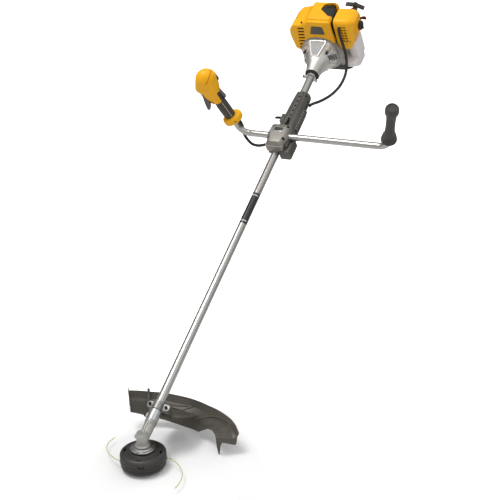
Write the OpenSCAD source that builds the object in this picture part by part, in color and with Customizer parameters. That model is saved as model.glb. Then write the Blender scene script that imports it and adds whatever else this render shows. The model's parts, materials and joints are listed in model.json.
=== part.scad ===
// Petrol string trimmer with a bull-horn handlebar, a straight shaft and a two-line bump-feed head.
// Origin: centre of the harness eye. +X is the operator's left hand, +Y runs from the head towards
// the engine over the ground, +Z is up and parallel to the head's spindle.

/* [Shaft] */
// Angle of the shaft above the ground in the working position
incl = 36.4; // [35:0.2:37]
// Outer diameter of the shaft tube
tube_d = 26; // [26:1:26]
// Wall of the shaft tube
tube_wall = 2; // [1.5:0.5:2]
// Distance along the shaft from the gear apex to the mouth of the clutch housing
engine_t = 1421; // [1415:1:1500]
// Height of the gear apex above the ground
apex_h = 84; // [84:1:90]
// Diameter of the drive shaft inside the tube
drive_d = 8; // [7:0.5:8]

/* [Handlebar] */
// Distance along the shaft from the gear apex to the handlebar
bar_t = 1110; // [1105:1:1115]
// Diameter of the handlebar tube
bar_d = 22; // [22:1:22]
// Height of the handlebar's axis above the shaft's axis
bar_rise = 25; // [25:0.5:26]
// Length of the straight bar on the throttle side
bar_right = 107; // [105:1:110]
// Length of the straight bar on the plain-grip side
bar_left = 348; // [300:1:360]
// Outward lean of both uprights
lean = 14; // [12:1:16]
// Radius of the two bends, at the tube's centre line
bend_r = 40; // [38:1:44]
// Running clearance of a turning fit, on the radius
fit_gap = 0.05; // [0.02:0.01:0.1]

/* [Head] */
// Diameter of the trimmer head
head_d = 130; // [128:1:132]
// Travel of the bump knob
bump_travel = 5; // [3:0.5:5]
// Diameter of the nylon line
line_d = 2.4; // [2.4:0.1:2.7]

/* [Bevel gears] */
// Teeth on the pinion of the drive shaft
pinion_teeth = 12; // [12:12:12]
// Teeth on the gear of the head's spindle
gear_teeth = 16; // [16:16:16]
// Distance of the teeth's outer end from the shared apex
gear_r = 13; // [12.5:0.1:13]

/* [Engine] */
// Cylinder bore
bore_d = 38; // [36:1:38]
// Piston stroke
stroke = 28; // [26:1:28]
// Distance from the crank pin to the piston pin
rod_l = 52; // [52:1:54]

/* [Hidden] */
$fn = 64;

yellow = [0.93, 0.65, 0.10];
dark = [0.27, 0.26, 0.25];
black = [0.10, 0.10, 0.10];
steel = [0.68, 0.68, 0.68];
satin = [0.80, 0.80, 0.79];
cast = [0.69, 0.67, 0.63];

tube_r = tube_d / 2;
bar_r = bar_d / 2;
drive_r = drive_d / 2;
head_r = head_d / 2;

// ---- the shared frame: where the harness eye sits on the shaft, and the gear apex from it ----
eye_x = -46;
eye_t = 1204;
eye_rise = 8;
apex = [-eye_x, sin(incl) * eye_rise - cos(incl) * eye_t,
        -cos(incl) * eye_rise - sin(incl) * eye_t];

// Along the shaft: x as the origin's, y up the shaft from the gear apex, z away from its upper side
module along(t) translate(apex) rotate([incl, 0, 0]) translate([0, t, 0]) children();
// On the head's spindle, h above the ground
module spindle(h) translate([apex.x, apex.y, apex.z - apex_h + h]) children();
// In the engine, d behind the mouth of the clutch housing
module engine(d) along(engine_t + d) children();

// ---- shared shapes ----
module rod_y(r, l) rotate([-90, 0, 0]) cylinder(r = r, h = l);
module rod_x(r, l) rotate([0, 90, 0]) cylinder(r = r, h = l);
module ring_z(ro, ri, l) difference() {
    cylinder(r = ro, h = l);
    translate([0, 0, -1]) cylinder(r = ri, h = l + 2);
}
module ring_y(ro, ri, l) rotate([-90, 0, 0]) ring_z(ro, ri, l);
module block(lo, hi) translate(lo) cube(hi - lo);
// A flat outline in x and z, drawn out along y
module slab_y(pts, l) rotate([90, 0, 0]) translate([0, 0, -l]) linear_extrude(l) polygon(pts);
// A flat outline in y and z, drawn out along x
module slab_x(pts, l) rotate([90, 0, 90]) linear_extrude(l) polygon(pts);
// A profile of radius and distance, turned about the y axis
module turned_y(pts) rotate([-90, 0, 0]) rotate_extrude() polygon(pts);
// A socket-head screw with its head's top at the origin, pointing down
module screw(d, l) difference() {
    union() {
        translate([0, 0, -d]) cylinder(r = 0.85 * d, h = d);
        translate([0, 0, -l]) cylinder(r = d / 2, h = l - d + 0.01);
    }
    translate([0, 0, -0.6 * d]) cylinder(r = 0.5 * d, h = d, $fn = 6);
}

// ---- swept round bars through hand-picked points ----
function spline(a, b, c, d, s) = 0.5 * (2 * b + (c - a) * s + (2 * a - 5 * b + 4 * c - d) * s * s
    + (3 * b - a - 3 * c + d) * s * s * s);
function clampi(i, n) = max(0, min(n - 1, i));
function smooth(p, cuts) = let (n = len(p)) concat([for (i = [0:n - 2], j = [0:cuts - 1])
    spline(p[clampi(i - 1, n)], p[i], p[i + 1], p[clampi(i + 2, n)], j / cuts)], [p[n - 1]]);
function unit(v) = v / norm(v);
function tangent(p, i) = unit(p[clampi(i + 1, len(p))] - p[clampi(i - 1, len(p))]);
module swept(p, r, sides) {
    n = len(p);
    ref = [0.31, 0.17, 0.93];
    rings = [for (i = [0:n - 1]) let (t = tangent(p, i), a = unit(cross(t, ref)), b = cross(t, a))
        for (k = [0:sides - 1]) p[i] + r * (cos(360 * k / sides) * a + sin(360 * k / sides) * b)];
    walls = [for (i = [0:n - 2], k = [0:sides - 1]) let (k2 = (k + 1) % sides)
        [i * sides + k, (i + 1) * sides + k, (i + 1) * sides + k2, i * sides + k2]];
    start = [[for (k = [0:sides - 1]) k]];
    end = [[for (k = [sides - 1:-1:0]) (n - 1) * sides + k]];
    polyhedron(rings, concat(walls, start, end));
}

// ---- bevel gears: every tooth narrows towards the shared apex at the origin ----
pinion_cone = atan(sin(90 + incl) / (gear_teeth / pinion_teeth + cos(90 + incl)));
gear_cone = 90 + incl - pinion_cone;
tooth_add = 5;
tooth_ded = 6.5;
tooth_step = [[-0.27, -1], [-0.11, 1], [0.11, 1], [0.27, -1]];
gear_in = 0.56 * gear_r;
function cone_point(r, polar, az) = r * [sin(polar) * cos(az), sin(polar) * sin(az), cos(polar)];
function tooth_ring(r, teeth, cone, turn) = [for (i = [0:teeth - 1], s = tooth_step)
    cone_point(r, cone + (s[1] > 0 ? tooth_add : -tooth_ded), (i + s[0]) * 360 / teeth + turn)];
module bevel_teeth(teeth, cone, turn, back) {
    n = 4 * teeth;
    inner = gear_in * cos(cone - tooth_ded);
    pts = concat(tooth_ring(gear_r, teeth, cone, turn), tooth_ring(gear_in, teeth, cone, turn),
        [[0, 0, gear_r * cos(cone - tooth_ded) + back], [0, 0, inner]]);
    faces = concat([for (k = [0:n - 1]) [k, (k + 1) % n, n + (k + 1) % n, n + k]],
        [for (k = [0:n - 1]) [2 * n, (k + 1) % n, k]],
        [for (k = [0:n - 1]) [2 * n + 1, n + k, n + (k + 1) % n]]);
    polyhedron(pts, faces);
}

// =================================== trimmer head ===================================
eyelet_turn = 30;
knob_r = 29;
stem_r = 9;
hub_h = 43;
spindle_r = 5;
window_turns = [0, 90, 180, 270];

module eyelet_bore() for (s = [0, 180]) rotate([0, 0, eyelet_turn + s])
    translate([head_r - 8, 0, 24]) rotate([0, 90, 0]) cylinder(r = 4, h = 12);

module head_base() color(black) spindle(0) difference() {
    rotate_extrude() polygon([[knob_r + 2, 5], [50, 5], [60, 8], [head_r - 1, 14], [head_r - 1, 19],
        [head_r, 21], [head_r, 32], [head_r - 3, 32], [head_r - 3, 16], [57, 11], [50, 8.5],
        [knob_r + 2, 8.5]]);
    eyelet_bore();
}

module head_cover() color(dark) spindle(0) difference() {
    rotate_extrude() polygon([[spindle_r + 0.02, hub_h], [9.5, hub_h], [9.5, 52], [36, 52],
        [38, 50.5], [56, 49], [head_r - 3, 43], [head_r - 3, 32.2], [head_r, 32.2], [head_r, 46],
        [head_r - 2, 49], [58, 52.5], [39, 54.5], [37, 56], [spindle_r + 0.02, 56]]);
    for (a = window_turns) rotate([0, 0, a + 20]) block([49, -6, 45], [55, 6, 56]);
    for (a = window_turns) rotate([0, 0, a - 62]) block([60, -7, 35], [68, 7, 39]);
}

// Each whip leaves an eyelet, 24 above the ground, and curls back round the head
whip = [[61, 0, 24], [68, 0, 24], [76, -3, 24], [90, -20, 24], [102, -40, 23], [109, -64, 22],
        [110, -88, 20], [104, -112, 18], [93, -132, 16]];
module trimmer_line() color([0.80, 0.86, 0.45]) spindle(0)
    for (s = [0, 180]) rotate([0, 0, eyelet_turn + s]) swept(smooth(whip, 4), line_d / 2, 8);

module spool() color(dark) spindle(0) rotate_extrude() polygon([[stem_r + fit_gap, 13],
    [54, 13], [54, 15], [24, 15], [24, 29], [54, 29], [54, 31], [stem_r + fit_gap, 31]]);

module bump_knob() color(black) spindle(0) rotate_extrude() polygon([[0, 0], [20, 0], [26, 2],
    [knob_r, 6], [knob_r, 11], [24, 12.5], [stem_r, 12.5], [stem_r, hub_h - bump_travel - 1],
    [0, hub_h - bump_travel - 1]]);

spring_turns = 3;
function coil(r, z0, z1, turns, n) = [for (i = [0:n * turns])
    [r * cos(360 * i / n), r * sin(360 * i / n), z0 + (z1 - z0) * i / (n * turns)]];
module head_spring() color(steel) spindle(0) swept(coil(13.5, 32.2, 50.5, spring_turns, 16), 1, 8);

module flange_disc() color(satin) spindle(0) rotate_extrude() polygon([[spindle_r + 0.02, 56.2],
    [30, 56.2], [34, 58], [34, 60], [35.5, 61], [35.5, 65], [34, 66.5], [22, 68],
    [spindle_r + 0.02, 68]]);

// ==================================== gear case ====================================
case_r = 17.5;
bearing_ro = 13;
seat_top = apex_h - 7.5;

module output_gear() color(steel) {
    translate(apex) rotate([180, 0, 0]) bevel_teeth(gear_teeth, gear_cone, 90 + 180 / gear_teeth, 2);
    spindle(hub_h) cylinder(r = spindle_r, h = apex_h - hub_h - 5);
}

module gear_case() color(cast) difference() {
    union() {
        spindle(0) rotate_extrude() polygon([[0, 68.4], [21, 68.4], [21, 71], [case_r, 74],
            [case_r, 108], [case_r - 3, 112], [0, 112.5]]);
        along(0) rod_y(16.5, 88);
        along(62) block([-9, 0, -23], [9, 18, -12]);
        along(66) block([-24, 0, -6], [-12, 14, 6]);
        spindle(94) rotate([0, -90, 0]) cylinder(r = 6, h = 24);
    }
    spindle(seat_top) cylinder(r = 15.2, h = 106 - seat_top);
    spindle(67) cylinder(r = 6.2, h = 20);
    spindle(69.5) cylinder(r = 12.02, h = seat_top - 69.4);
    along(6) rod_y(bearing_ro + 0.02, 90);
    along(73) translate([-30, 0, 0]) rod_x(2.6, 14.6);
}

bushing_ts = [120, 480, 840, 1200];
module shaft_bearings() color(steel) {
    spindle(69.6) ring_z(12, spindle_r + fit_gap, 7);
    for (t = [17, 27]) along(t) ring_y(bearing_ro, spindle_r + fit_gap, 8);
    for (t = bushing_ts) along(t) ring_y(tube_r - tube_wall, drive_r + fit_gap, 30);
    engine(38) ring_y(17.5, 7.5 + fit_gap, 11);
    for (d = [146, 197]) engine(d) ring_y(17.5, 7.5 + fit_gap, 11);
}

module pinion() color(steel) translate(apex) rotate([incl - 90, 0, 0]) {
    rotate([0, 0, 90]) bevel_teeth(pinion_teeth, pinion_cone, 0, 1);
    translate([0, 0, 9]) ring_z(spindle_r, 0.01, 31);
}

module drive_shaft() color(steel) along(40.05) rod_y(drive_r, engine_t + 9.9);

module shaft_tube() color(satin) along(46)
    ring_y(tube_r, tube_r - tube_wall, engine_t - 46 + 30);

// ================================= guard and bracket =================================
ear_x = 27;
module guard_bracket() color(satin) along(96) difference() {
    union() {
        rod_y(17, 24);
        block([-37, 2, -3], [37, 22, 1.5]);
    }
    translate([0, -1, 0]) rod_y(tube_r + 0.02, 40);
    block([-40, -1, -30], [40, 40, -3]);
    for (s = [-1, 1]) translate([s * ear_x, 12, -10]) cylinder(r = 3.1, h = 20);
}

// The skirt is lofted between sections: a bearing about the spindle, then radius and height points
// of its inner face from the bottom edge to the rim
skirt_keys = [
    [134, [207, 61], [212, 76], [219, 92], [224, 99], [228, 118]],
    [118, [207, 39], [212, 62], [219, 82], [226, 88], [234, 104]],
    [98, [207, 24], [212, 50], [214, 70], [230, 78], [240, 95]],
    [88, [207, 20], [211, 42], [216, 66], [234, 76], [243, 92]],
    [73, [207, 22], [214, 40], [230, 58], [240, 72], [247, 88]],
    [60, [207, 54], [226, 56], [242, 66], [248, 76], [254, 88]],
    [50, [208, 66], [230, 64], [250, 68], [256, 76], [262, 86]],
    [44, [208, 66], [232, 62], [254, 62], [261, 68], [267, 80]],
    [40, [208, 62], [232, 58], [256, 54], [265, 56], [271, 66]]];
skirt_t = 3;
skirt_steps = 60;
function mix(a, b, s) = a + (b - a) * s;
function key_after(a) = [for (i = [1:len(skirt_keys) - 1]) if (skirt_keys[i][0] <= a) i][0];
function section(a) = let (i = key_after(a), p = skirt_keys[i - 1], q = skirt_keys[i],
    s = (p[0] - a) / (p[0] - q[0])) [for (k = [1:5]) mix(p[k], q[k], s)];
function at_bearing(p, a) = [p[0] * cos(a), p[0] * sin(a), p[1]];
module skirt() {
    n = 10;
    turns = [for (i = [0:skirt_steps]) mix(skirt_keys[0][0], skirt_keys[8][0], i / skirt_steps)];
    pts = [for (a = turns) let (p = section(a)) each concat([for (q = p) at_bearing(q, a)],
        [for (k = [4:-1:0]) at_bearing(p[k] + [skirt_t * 0.8, k == 0 ? 0 : -skirt_t * 0.8], a)])];
    walls = [for (i = [0:skirt_steps - 1], k = [0:n - 1]) let (j = (k + 1) % n)
        each [[i * n + k, i * n + j, (i + 1) * n + j], [i * n + k, (i + 1) * n + j, (i + 1) * n + k]]];
    caps = [for (k = [0:3]) each [[k, 9 - k, k + 1], [k + 1, 9 - k, 8 - k]]];
    far = skirt_steps * n;
    ends = [for (f = caps) [f[2] + far, f[1] + far, f[0] + far]];
    polyhedron(pts, concat(walls, caps, ends));
}
tip_turn = 43;
module skirt_tip() rotate([90, 0, tip_turn]) translate([0, 0, -1.5]) linear_extrude(3)
    polygon([[210, 64], [211, 26], [216, 2], [219, 2], [222, 30], [230, 44], [237, 60]]);
module skirt_end() rotate([90, 0, 40]) translate([0, 0, -3]) linear_extrude(3)
    polygon([[211, 60.5], [214, 50], [226, 43], [262, 30], [266, 34], [271, 64.5], [266, 54.5],
        [257, 52.5], [233, 56.5]]);
module mount_plate() rotate([90, 0, 90]) translate([0, 0, -42]) linear_extrude(98)
    polygon([[90, 110], [102, 110], [208, 60], [216, 62], [219, 70], [116, 120], [112, 132],
        [92, 126]]);
guard_r = 207;
module guard() color(dark) difference() {
    union() {
        along(96) difference() {
            block([-36, 2, -26], [36, 22, -3.2]);
            for (s = [-1, 1]) translate([s * ear_x, 12, -40]) cylinder(r = 2.6, h = 50);
        }
        spindle(0) {
            skirt();
            skirt_tip();
            skirt_end();
            mount_plate();
        }
    }
    along(50) rod_y(tube_r + 4.1, 46);
    along(90) rod_y(tube_r + 0.05, 60);
}

knife_turn = 134;
module line_knife() color(steel) spindle(0) rotate([0, 0, knife_turn]) {
    block([guard_r - 10, 0.2, 62], [guard_r + 8, 2.2, 86]);
}

// ================================ hip pad and harness eye ================================
pad_from = 1152;
pad_to = 1322;
pad_split = 0.2;
module pad_outline(lift) rotate([-90, 0, 0]) hull() {
    translate([4, 0, 0]) cylinder(r = 29 - lift, h = 60);
    translate([6, 0, pad_to - pad_from - 20]) cylinder(r = 24 - lift, h = 20);
}
module pad_half(sign) along(pad_from) difference() {
    intersection() {
        pad_outline(0);
        block([-50, -1, sign > 0 ? pad_split : -40], [60, 180, sign > 0 ? 40 : -pad_split]);
    }
    translate([0, -1, 0]) rod_y(tube_r + 0.02, 200);
    for (y = [20, 150]) translate([24, y, -50]) cylinder(r = 2.6, h = 100);
}
module hip_pad_upper() color(dark) difference() {
    pad_half(1);
    eye_plate(0.05);
    along(pad_from) for (y = [20, 150]) translate([24, y, 16.95]) cylinder(r = 4.6, h = 20);
    along(0) for (i = [0:2]) translate([10, 1210 + 34 * i, 12]) rotate([0, 0, 30])
        block([-3, -6, 10], [3, 6, 30]);
}
module hip_pad_lower() color(dark) difference() {
    union() {
        pad_half(-1);
        along(1150) difference() {
            slab_y([[30, -20], [34, -22], [46, 4], [42, 12], [34, 14], [31, 6]], 96);
            block([0, -1, -0.2], [36, 120, 40]);
        }
    }
    along(1262) translate([20, 6, 8]) rod_x(4.1, 40);
    eye_plate(0.05);
}

// The eye's plate, which both halves of the pad clamp
module eye_plate(gap) block([0, -8 - gap, -2.5 - gap], [24 + gap, 8 + gap, 2.5 + gap]);
module harness_eye() color(black) difference() {
    union() {
        cylinder(r = 10, h = 5, center = true);
        eye_plate(0);
    }
    cylinder(r = 6, h = 20, center = true);
}

// =================================== handlebar clamp ===================================
clamp_bolts = [[-28, -26], [28, -26], [-28, 24], [28, 24]];
module bar_groove() translate([-100, 0, bar_rise]) rod_x(bar_r + 0.02, 200);
module clamp_body() color(black) along(bar_t) difference() {
    union() {
        block([-38, -40, -22], [40, 36, bar_rise - 0.5]);
        hull() {
            block([10, -58, -26], [46, 10, -18]);
            block([28, -54, -26], [52, 0, 14]);
        }
        block([-44, -34, -6], [-37, -14, 14]);
    }
    translate([0, -80, 0]) rod_y(tube_r + 0.02, 160);
    bar_groove();
    for (b = clamp_bolts) translate([b[0], b[1], -10]) cylinder(r = 2.6, h = 60);
    translate([-60, -24, 4]) rod_x(4.1, 30);
}
function bolt_top(b) = b[1] < 0 ? 38 : 45;
module clamp_cap() color(cast) along(bar_t) difference() {
    translate([-38, 0, 0]) slab_x([[-54, bar_rise - 18], [-40, bar_rise - 18], [-40, bar_rise + 0.5],
        [38, bar_rise + 0.5], [38, 38], [28, 47], [-8, 49], [-34, 40], [-54, 20]], 78);
    bar_groove();
    translate([0, -80, 0]) rod_y(tube_r + 0.05, 160);
    block([7, -60, 0], [62, -39.9, 15]);
    for (b = clamp_bolts) translate([b[0], b[1], 0]) cylinder(r = 2.7, h = 100);
    for (b = clamp_bolts) translate([b[0], b[1], bolt_top(b) - 5]) cylinder(r = 5, h = 30);
}

// ======================================= handlebar =======================================
bend_turn = 90 - lean;
upright_right = 176;
upright_left = 150;
module bent_upright(straight, upright, r) {
    translate([-0.05, 0, 0]) rod_x(r, straight + 0.1);
    translate([straight, 0, bend_r]) rotate([90, 0, 0]) rotate([0, 0, -90])
        rotate_extrude(angle = bend_turn) translate([bend_r, 0]) circle(r = r);
    translate([straight, 0, bend_r]) rotate([0, -bend_turn, 0]) translate([-0.05, 0, -bend_r])
        rod_x(r, upright + 0.05);
}
module bar_solid(r) {
    bent_upright(bar_left, upright_left, r);
    mirror([1, 0, 0]) bent_upright(bar_right, upright_right, r);
}
module handlebar() color(satin) along(bar_t) translate([0, 0, bar_rise]) difference() {
    bar_solid(bar_r);
    mirror([1, 0, 0]) bar_far_end(bar_right, upright_right);
    bar_far_end(bar_left, upright_left);
}
// The open bore at the end of an upright
module bar_far_end(straight, upright) translate([straight, 0, bend_r])
    rotate([0, -bend_turn, 0]) translate([upright - 60, 0, -bend_r]) rod_x(bar_r - 1.5, 61);

// z runs up the upright from the end of its bend; side is 1 for the plain grip, -1 for the throttle
module on_upright(straight, side) along(bar_t)
    translate([side * (straight + bend_r * cos(lean)), 0, bar_rise + bend_r * (1 - sin(lean))])
    rotate([0, side * lean, 0]) children();

module left_grip() color(dark) on_upright(bar_left, 1) rotate_extrude() polygon([[bar_r + 0.02, 2],
    [21, 2], [24.5, 7], [24.5, 22], [20.5, 34], [19, 60], [18.5, 95], [19.5, 128], [22, 134],
    [22, 150], [19, 160], [0, 162], [0, upright_left + 0.1], [bar_r + 0.02, upright_left + 0.1]]);

// =================================== throttle handle ===================================
// x points at the palm and -x at the fingers, after the handle's turn on the bar
throttle_turn = 26;
collar_from = 30;
grip_from = 54;
grip_to = 146;
head_z = 218;
leaf_z = 126;
palm_r = 19.5;
module on_throttle() on_upright(bar_right, -1) rotate([0, 0, throttle_turn]) children();
module throttle_body() {
    hull() {
        translate([6, 0, collar_from + 4]) cylinder(r = 31, h = 14, $fn = 32);
        translate([8, 0, collar_from]) cylinder(r = 26, h = 24, $fn = 32);
    }
    translate([0, 0, grip_from]) cylinder(r = palm_r - 2.5, h = 110);
    difference() {
        hull() {
            translate([0, 0, grip_to]) cylinder(r = palm_r, h = 4, $fn = 32);
            translate([8, 0, head_z]) scale([1, 0.82, 1]) sphere(r = 36, $fn = 32);
            translate([-23, 0, 198]) scale([1, 0.85, 1]) sphere(r = 21, $fn = 24);
            translate([9, 0, 187]) sphere(r = 20, $fn = 24);
        }
        block([12, -40, grip_to - 1], [60, 40, 163]);
    }
    intersection() {
        translate([0, 0, leaf_z]) cylinder(r = palm_r + 0.7, h = 30, $fn = 48);
        block([-40, -40, 0], [9.8, 40, 200]);
    }
    block([-34, -11, 112], [-12, 11, grip_to + 20]);
}
module throttle_hollow() {
    translate([0, 0, 20]) cylinder(r = bar_r + 0.05, h = upright_right - 19.9);
    hull() {
        translate([8, 0, head_z]) scale([1, 0.82, 1]) sphere(r = 32.4, $fn = 24);
        translate([-14, 0, 208]) scale([1, 0.8, 1]) sphere(r = 17, $fn = 20);
    }
    translate([-60, -7.6, 110]) cube([47, 15.2, 86]);
    translate([12, -7, grip_to - 22]) cube([30, 14, 51]);
    translate([30, -8, switch_lo.z - 0.5]) cube([30, 16, 18]);
    translate([0, bar_r + sheath_r, collar_from - 1]) cylinder(r = sheath_r + 0.1, h = 9);
}
// Half of a hinge pin, moulded on each shell
module half_pin(at, r, sign) translate([at.x, sign > 0 ? 0.1 : -10, at.z]) rod_y(r, 9.9);
module throttle_half(sign) color(yellow) on_throttle() {
    difference() {
        intersection() {
            throttle_body();
            block([-80, sign > 0 ? 0.1 : -60, 0], [80, sign > 0 ? 60 : -0.1, 260]);
        }
        throttle_hollow();
    }
    half_pin(trigger_pivot, 2.5, sign);
    half_pin(lock_pivot, 2, sign);
}
module throttle_shell_front() throttle_half(-1);
module throttle_shell_rear() throttle_half(1);
module grip_insert() color(black) on_throttle() difference() {
    translate([0, 0, grip_from + 0.2]) cylinder(r = palm_r, h = 162.8 - grip_from);
    cylinder(r = palm_r - 2.45, h = 200);
    block([12, -7, grip_to - 24], [30, 7, grip_to + 20]);
    block([-36, -11.2, 111.5], [-10, 11.2, grip_to + 20]);
    block([-40, -40, leaf_z - 0.2], [10, 40, 200]);
    block([-40, -40, grip_to - 1.2], [12.2, 40, 200]);
}

trigger_pivot = [-27, 0, 186];
module trigger() color(dark) on_throttle() difference() {
    union() {
        translate([trigger_pivot.x, -7, trigger_pivot.z]) rod_y(5, 14);
        translate([0, -7, 0]) slab_y([[-30, 189], [-25, 184], [-25, 150], [-33.5, 121], [-42, 111],
            [-47, 110], [-51, 115], [-46, 140], [-38, 168], [-38, 186]], 14);
    }
    translate([trigger_pivot.x, -20, trigger_pivot.z]) rod_y(2.5 + fit_gap, 40);
}

lock_pivot = [21, 0, 166];
module lockout_lever() color(dark) on_throttle() difference() {
    union() {
        translate([lock_pivot.x, -6, lock_pivot.z]) rod_y(4.5, 12);
        translate([0, -6, 0]) slab_y([[17.5, 168], [19.5, 134], [23, 127], [27.5, 127], [29, 131],
            [26, 158], [24.5, 169]], 12);
    }
    translate([lock_pivot.x, -20, lock_pivot.z]) rod_y(2 + fit_gap, 40);
}
switch_lo = [33, -7, 199];
module stop_switch() color(black) on_throttle()
    block(switch_lo, switch_lo + [10, 14, 13]);

// ================================== throttle cable ==================================
sheath_r = 4;
handle_run = [[-149, 1131, 70], [-145, 1130, 36], [-146, 1122, 4], [-135, 1115, -19],
    [-118, 1108, -30], [-92, 1100, -25], [-66, 1090, -8], [-45.2, 1086, 4]];
engine_run = [[84, 1546, 111], [84, 1538, 107], [87, 1529, 87], [93, 1522, 52], [99, 1511, 20],
    [103, 1494, -8], [104, 1470, -28], [102, 1440, -37], [97, 1400, -36], [88, 1350, -22], [68, 1310, -10],
    [52, 1284, 2], [46.5, 1268, 8]];
module throttle_cable() color(black) along(0) {
    swept(smooth(handle_run, 4), sheath_r, 10);
    swept(smooth(engine_run, 4), sheath_r, 10);
}

// ===================================== fasteners =====================================
module socket_screws() color(black) {
    along(bar_t) for (b = clamp_bolts) translate([b[0], b[1], bolt_top(b)]) screw(5, 40);
    along(108) for (s = [-1, 1]) translate([s * ear_x, 0, 6.6]) screw(5, 26);
    along(73) translate([-29, 0, 0]) rotate([0, -90, 0]) screw(5, 12);
    engine(-10.6) translate([-31.1, 0, 0]) rotate([0, -90, 0]) screw(5, 14);
    engine(62) for (s = [-1, 1]) translate([s * 42, 0, 42]) rotate([90, 0, 0]) screw(5, 20);
    along(pad_from) for (y = [20, 150]) translate([24, y, 22]) screw(5, 30);
}

// ============================== engine: clutch and housing ==============================
mouth_r = 27;
flange_r = 62;
flange_d = 105;
module clamp_collar() color(satin) engine(-16) difference() {
    union() {
        rod_y(18.4, 24);
        block([-26, 1, -6], [-14, 9.9, 6]);
        block([8, 0, -24], [17, 9.9, -12]);
    }
    translate([0, -1, 0]) rod_y(tube_r + 0.02, 40);
    translate([-30, 5.4, 0]) rod_x(2.6, 20);
}
module vibration_ring() color(black) engine(-6) ring_y(24.4, 18.6, 14);

module housing_profile(r0, r1, inset) turned_y([[0, inset], [r0, inset], [r0, 14], [r0 + 3, 30],
    [r1 - 6, 84], [r1, 92], [r1, flange_d], [0, flange_d]]);
module clutch_housing() color(cast) engine(0) difference() {
    union() {
        housing_profile(mouth_r, flange_r, 0);
        hull() {
            translate([-34, flange_d - 16, 20]) cube([68, 16, 44]);
            translate([-14, 40, 30]) cube([28, 10, 8]);
        }
        for (s = [-1, 1]) translate([s * 42, 72, 42]) rod_y(9, flange_d - 72);
    }
    translate([0, -1, 0]) rod_y(24.6, 10);
    translate([0, -1, 0]) rod_y(17.52, 50);
    translate([0, 49, 0]) rod_y(17.52, 8);
    translate([0, 54, 0]) rod_y(41, 60);
    for (s = [-1, 1]) translate([s * 42, 60, 42]) rod_y(2.7, 60);
    for (s = [-1, 1]) translate([s * 42, 56, 42]) rod_y(5.5, 17);
    for (i = [0:3]) translate([38, 66 + 8 * i, -8 - 4 * i]) rotate([0, 0, 35])
        cube([40, 4, 12]);
}
module clutch_drum() color(steel) engine(0) difference() {
    union() {
        translate([0, 36, 0]) rod_y(7.5, 30);
        translate([0, 62, 0]) rod_y(39, 30);
    }
    translate([0, 66, 0]) rod_y(36.5, 40);
    translate([0, 30, 0]) rod_y(drive_r + 0.01, 22);
}
module clutch_shoes() color(cast) engine(72) {
    difference() {
        union() {
            rod_y(13, 14);
            block([-6, 0, -18], [6, 14, 18]);
        }
        translate([0, -1, 0]) rod_y(6.01, 20);
    }
    for (s = [0, 180]) rotate([0, s, 0]) difference() {
        ring_y(35.5, 18.5, 14);
        block([-50, -1, -50], [3, 20, 50]);
    }
}

// ================================ engine: crank and piston ================================
rod_plane = 177;
throw = stroke / 2;
module flywheel() color(cast) engine(112) {
    difference() {
        union() {
            rod_y(56, 6);
            rod_y(16, 22);
        }
        translate([0, -1, 0]) rod_y(6.01, 40);
    }
    for (i = [0:15]) rotate([0, i * 22.5, 0]) block([26, 5.9, -1], [56, 20, 1]);
}
module crankshaft() color(steel) engine(0) {
    translate([0, 74, 0]) rod_y(6, 70);
    translate([0, 143, 0]) rod_y(7.5, 17);
    for (s = [-1, 1]) translate([0, rod_plane, 0]) mirror([0, s > 0 ? 0 : 1, 0]) {
        translate([0, 9, 0]) rod_y(22, 8);
        translate([0, 5, throw]) rod_y(5, 5);
    }
    translate([0, rod_plane + 16, 0]) rod_y(7.5, 17);
    translate([0, rod_plane + 32, 0]) rod_y(6, 14);
    translate([0, rod_plane + 36, 0]) rod_y(13, 4);
}
case_front = flange_d;
fan_r = 76;
module crankcase() color(cast) engine(0) difference() {
    union() {
        translate([0, case_front + 0.1, 0]) rod_y(fan_r, 34);
        translate([0, 136, 0]) rod_y(36, 74);
        block([-30, 146, 0], [30, 208, 39.9]);
        block([-44, 140, -48], [44, 206, -20]);
    }
    translate([0, case_front - 1, 0]) rod_y(43, 12);
    translate([0, case_front + 4, 0]) rod_y(62, 30);
    translate([0, 130, 0]) rod_y(9, 40);
    translate([0, 145, 0]) rod_y(17.52, 16);
    translate([0, 159, 0]) rod_y(27.5, 37);
    block([-23, rod_plane - 8, 0], [23, rod_plane + 8, 36]);
    translate([0, 190, 0]) rod_y(17.52, 19);
    translate([0, 200, 0]) rod_y(14, 30);
    translate([0, rod_plane, 0]) cylinder(r = bore_d / 2, h = 60);
}
module cylinder_block() {
    translate([0, 0, 40]) cylinder(r = bore_d / 2 + 4, h = 66);
    for (i = [0:8]) translate([0, 0, 46 + 7 * i]) block([-40, -36, 0], [40, 36, 2.4]);
    block([-30, -31, 40], [30, 31, 44]);
    block([-40, -16, 46], [-20, 16, 72]);
    block([20, -16, 46], [40, 16, 72]);
    translate([0, 0, 104]) cylinder(r = 22, h = 6);
}
plug_tilt = 22;
module on_plug() engine(rod_plane) translate([4, 0, 96]) rotate([0, plug_tilt, 0]) children();
module finned_cylinder() color(cast) difference() {
    union() {
        engine(rod_plane) cylinder_block();
        on_plug() cylinder(r = 12, h = 16);
    }
    engine(rod_plane) {
        translate([0, 0, 39]) cylinder(r = bore_d / 2, h = 47);
        translate([0, 0, 84]) cylinder(r1 = bore_d / 2, r2 = 8, h = 9);
        translate([-50, 0, 59]) rod_x(9, 40);
        translate([14, 0, 57]) rod_x(8, 40);
    }
    on_plug() translate([0, 0, -8]) cylinder(r = 5.02, h = 40);
    on_plug() translate([0, 0, 16.02]) cylinder(r = 11, h = 20);
}
pin_h = throw + rod_l;
module piston() color(satin) engine(rod_plane) difference() {
    translate([0, 0, pin_h - 14]) cylinder(r = bore_d / 2 - fit_gap, h = 29);
    translate([0, 0, pin_h - 15]) cylinder(r = bore_d / 2 - 4, h = 25);
    translate([0, -30, pin_h]) rod_y(4.01, 60);
}
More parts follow.
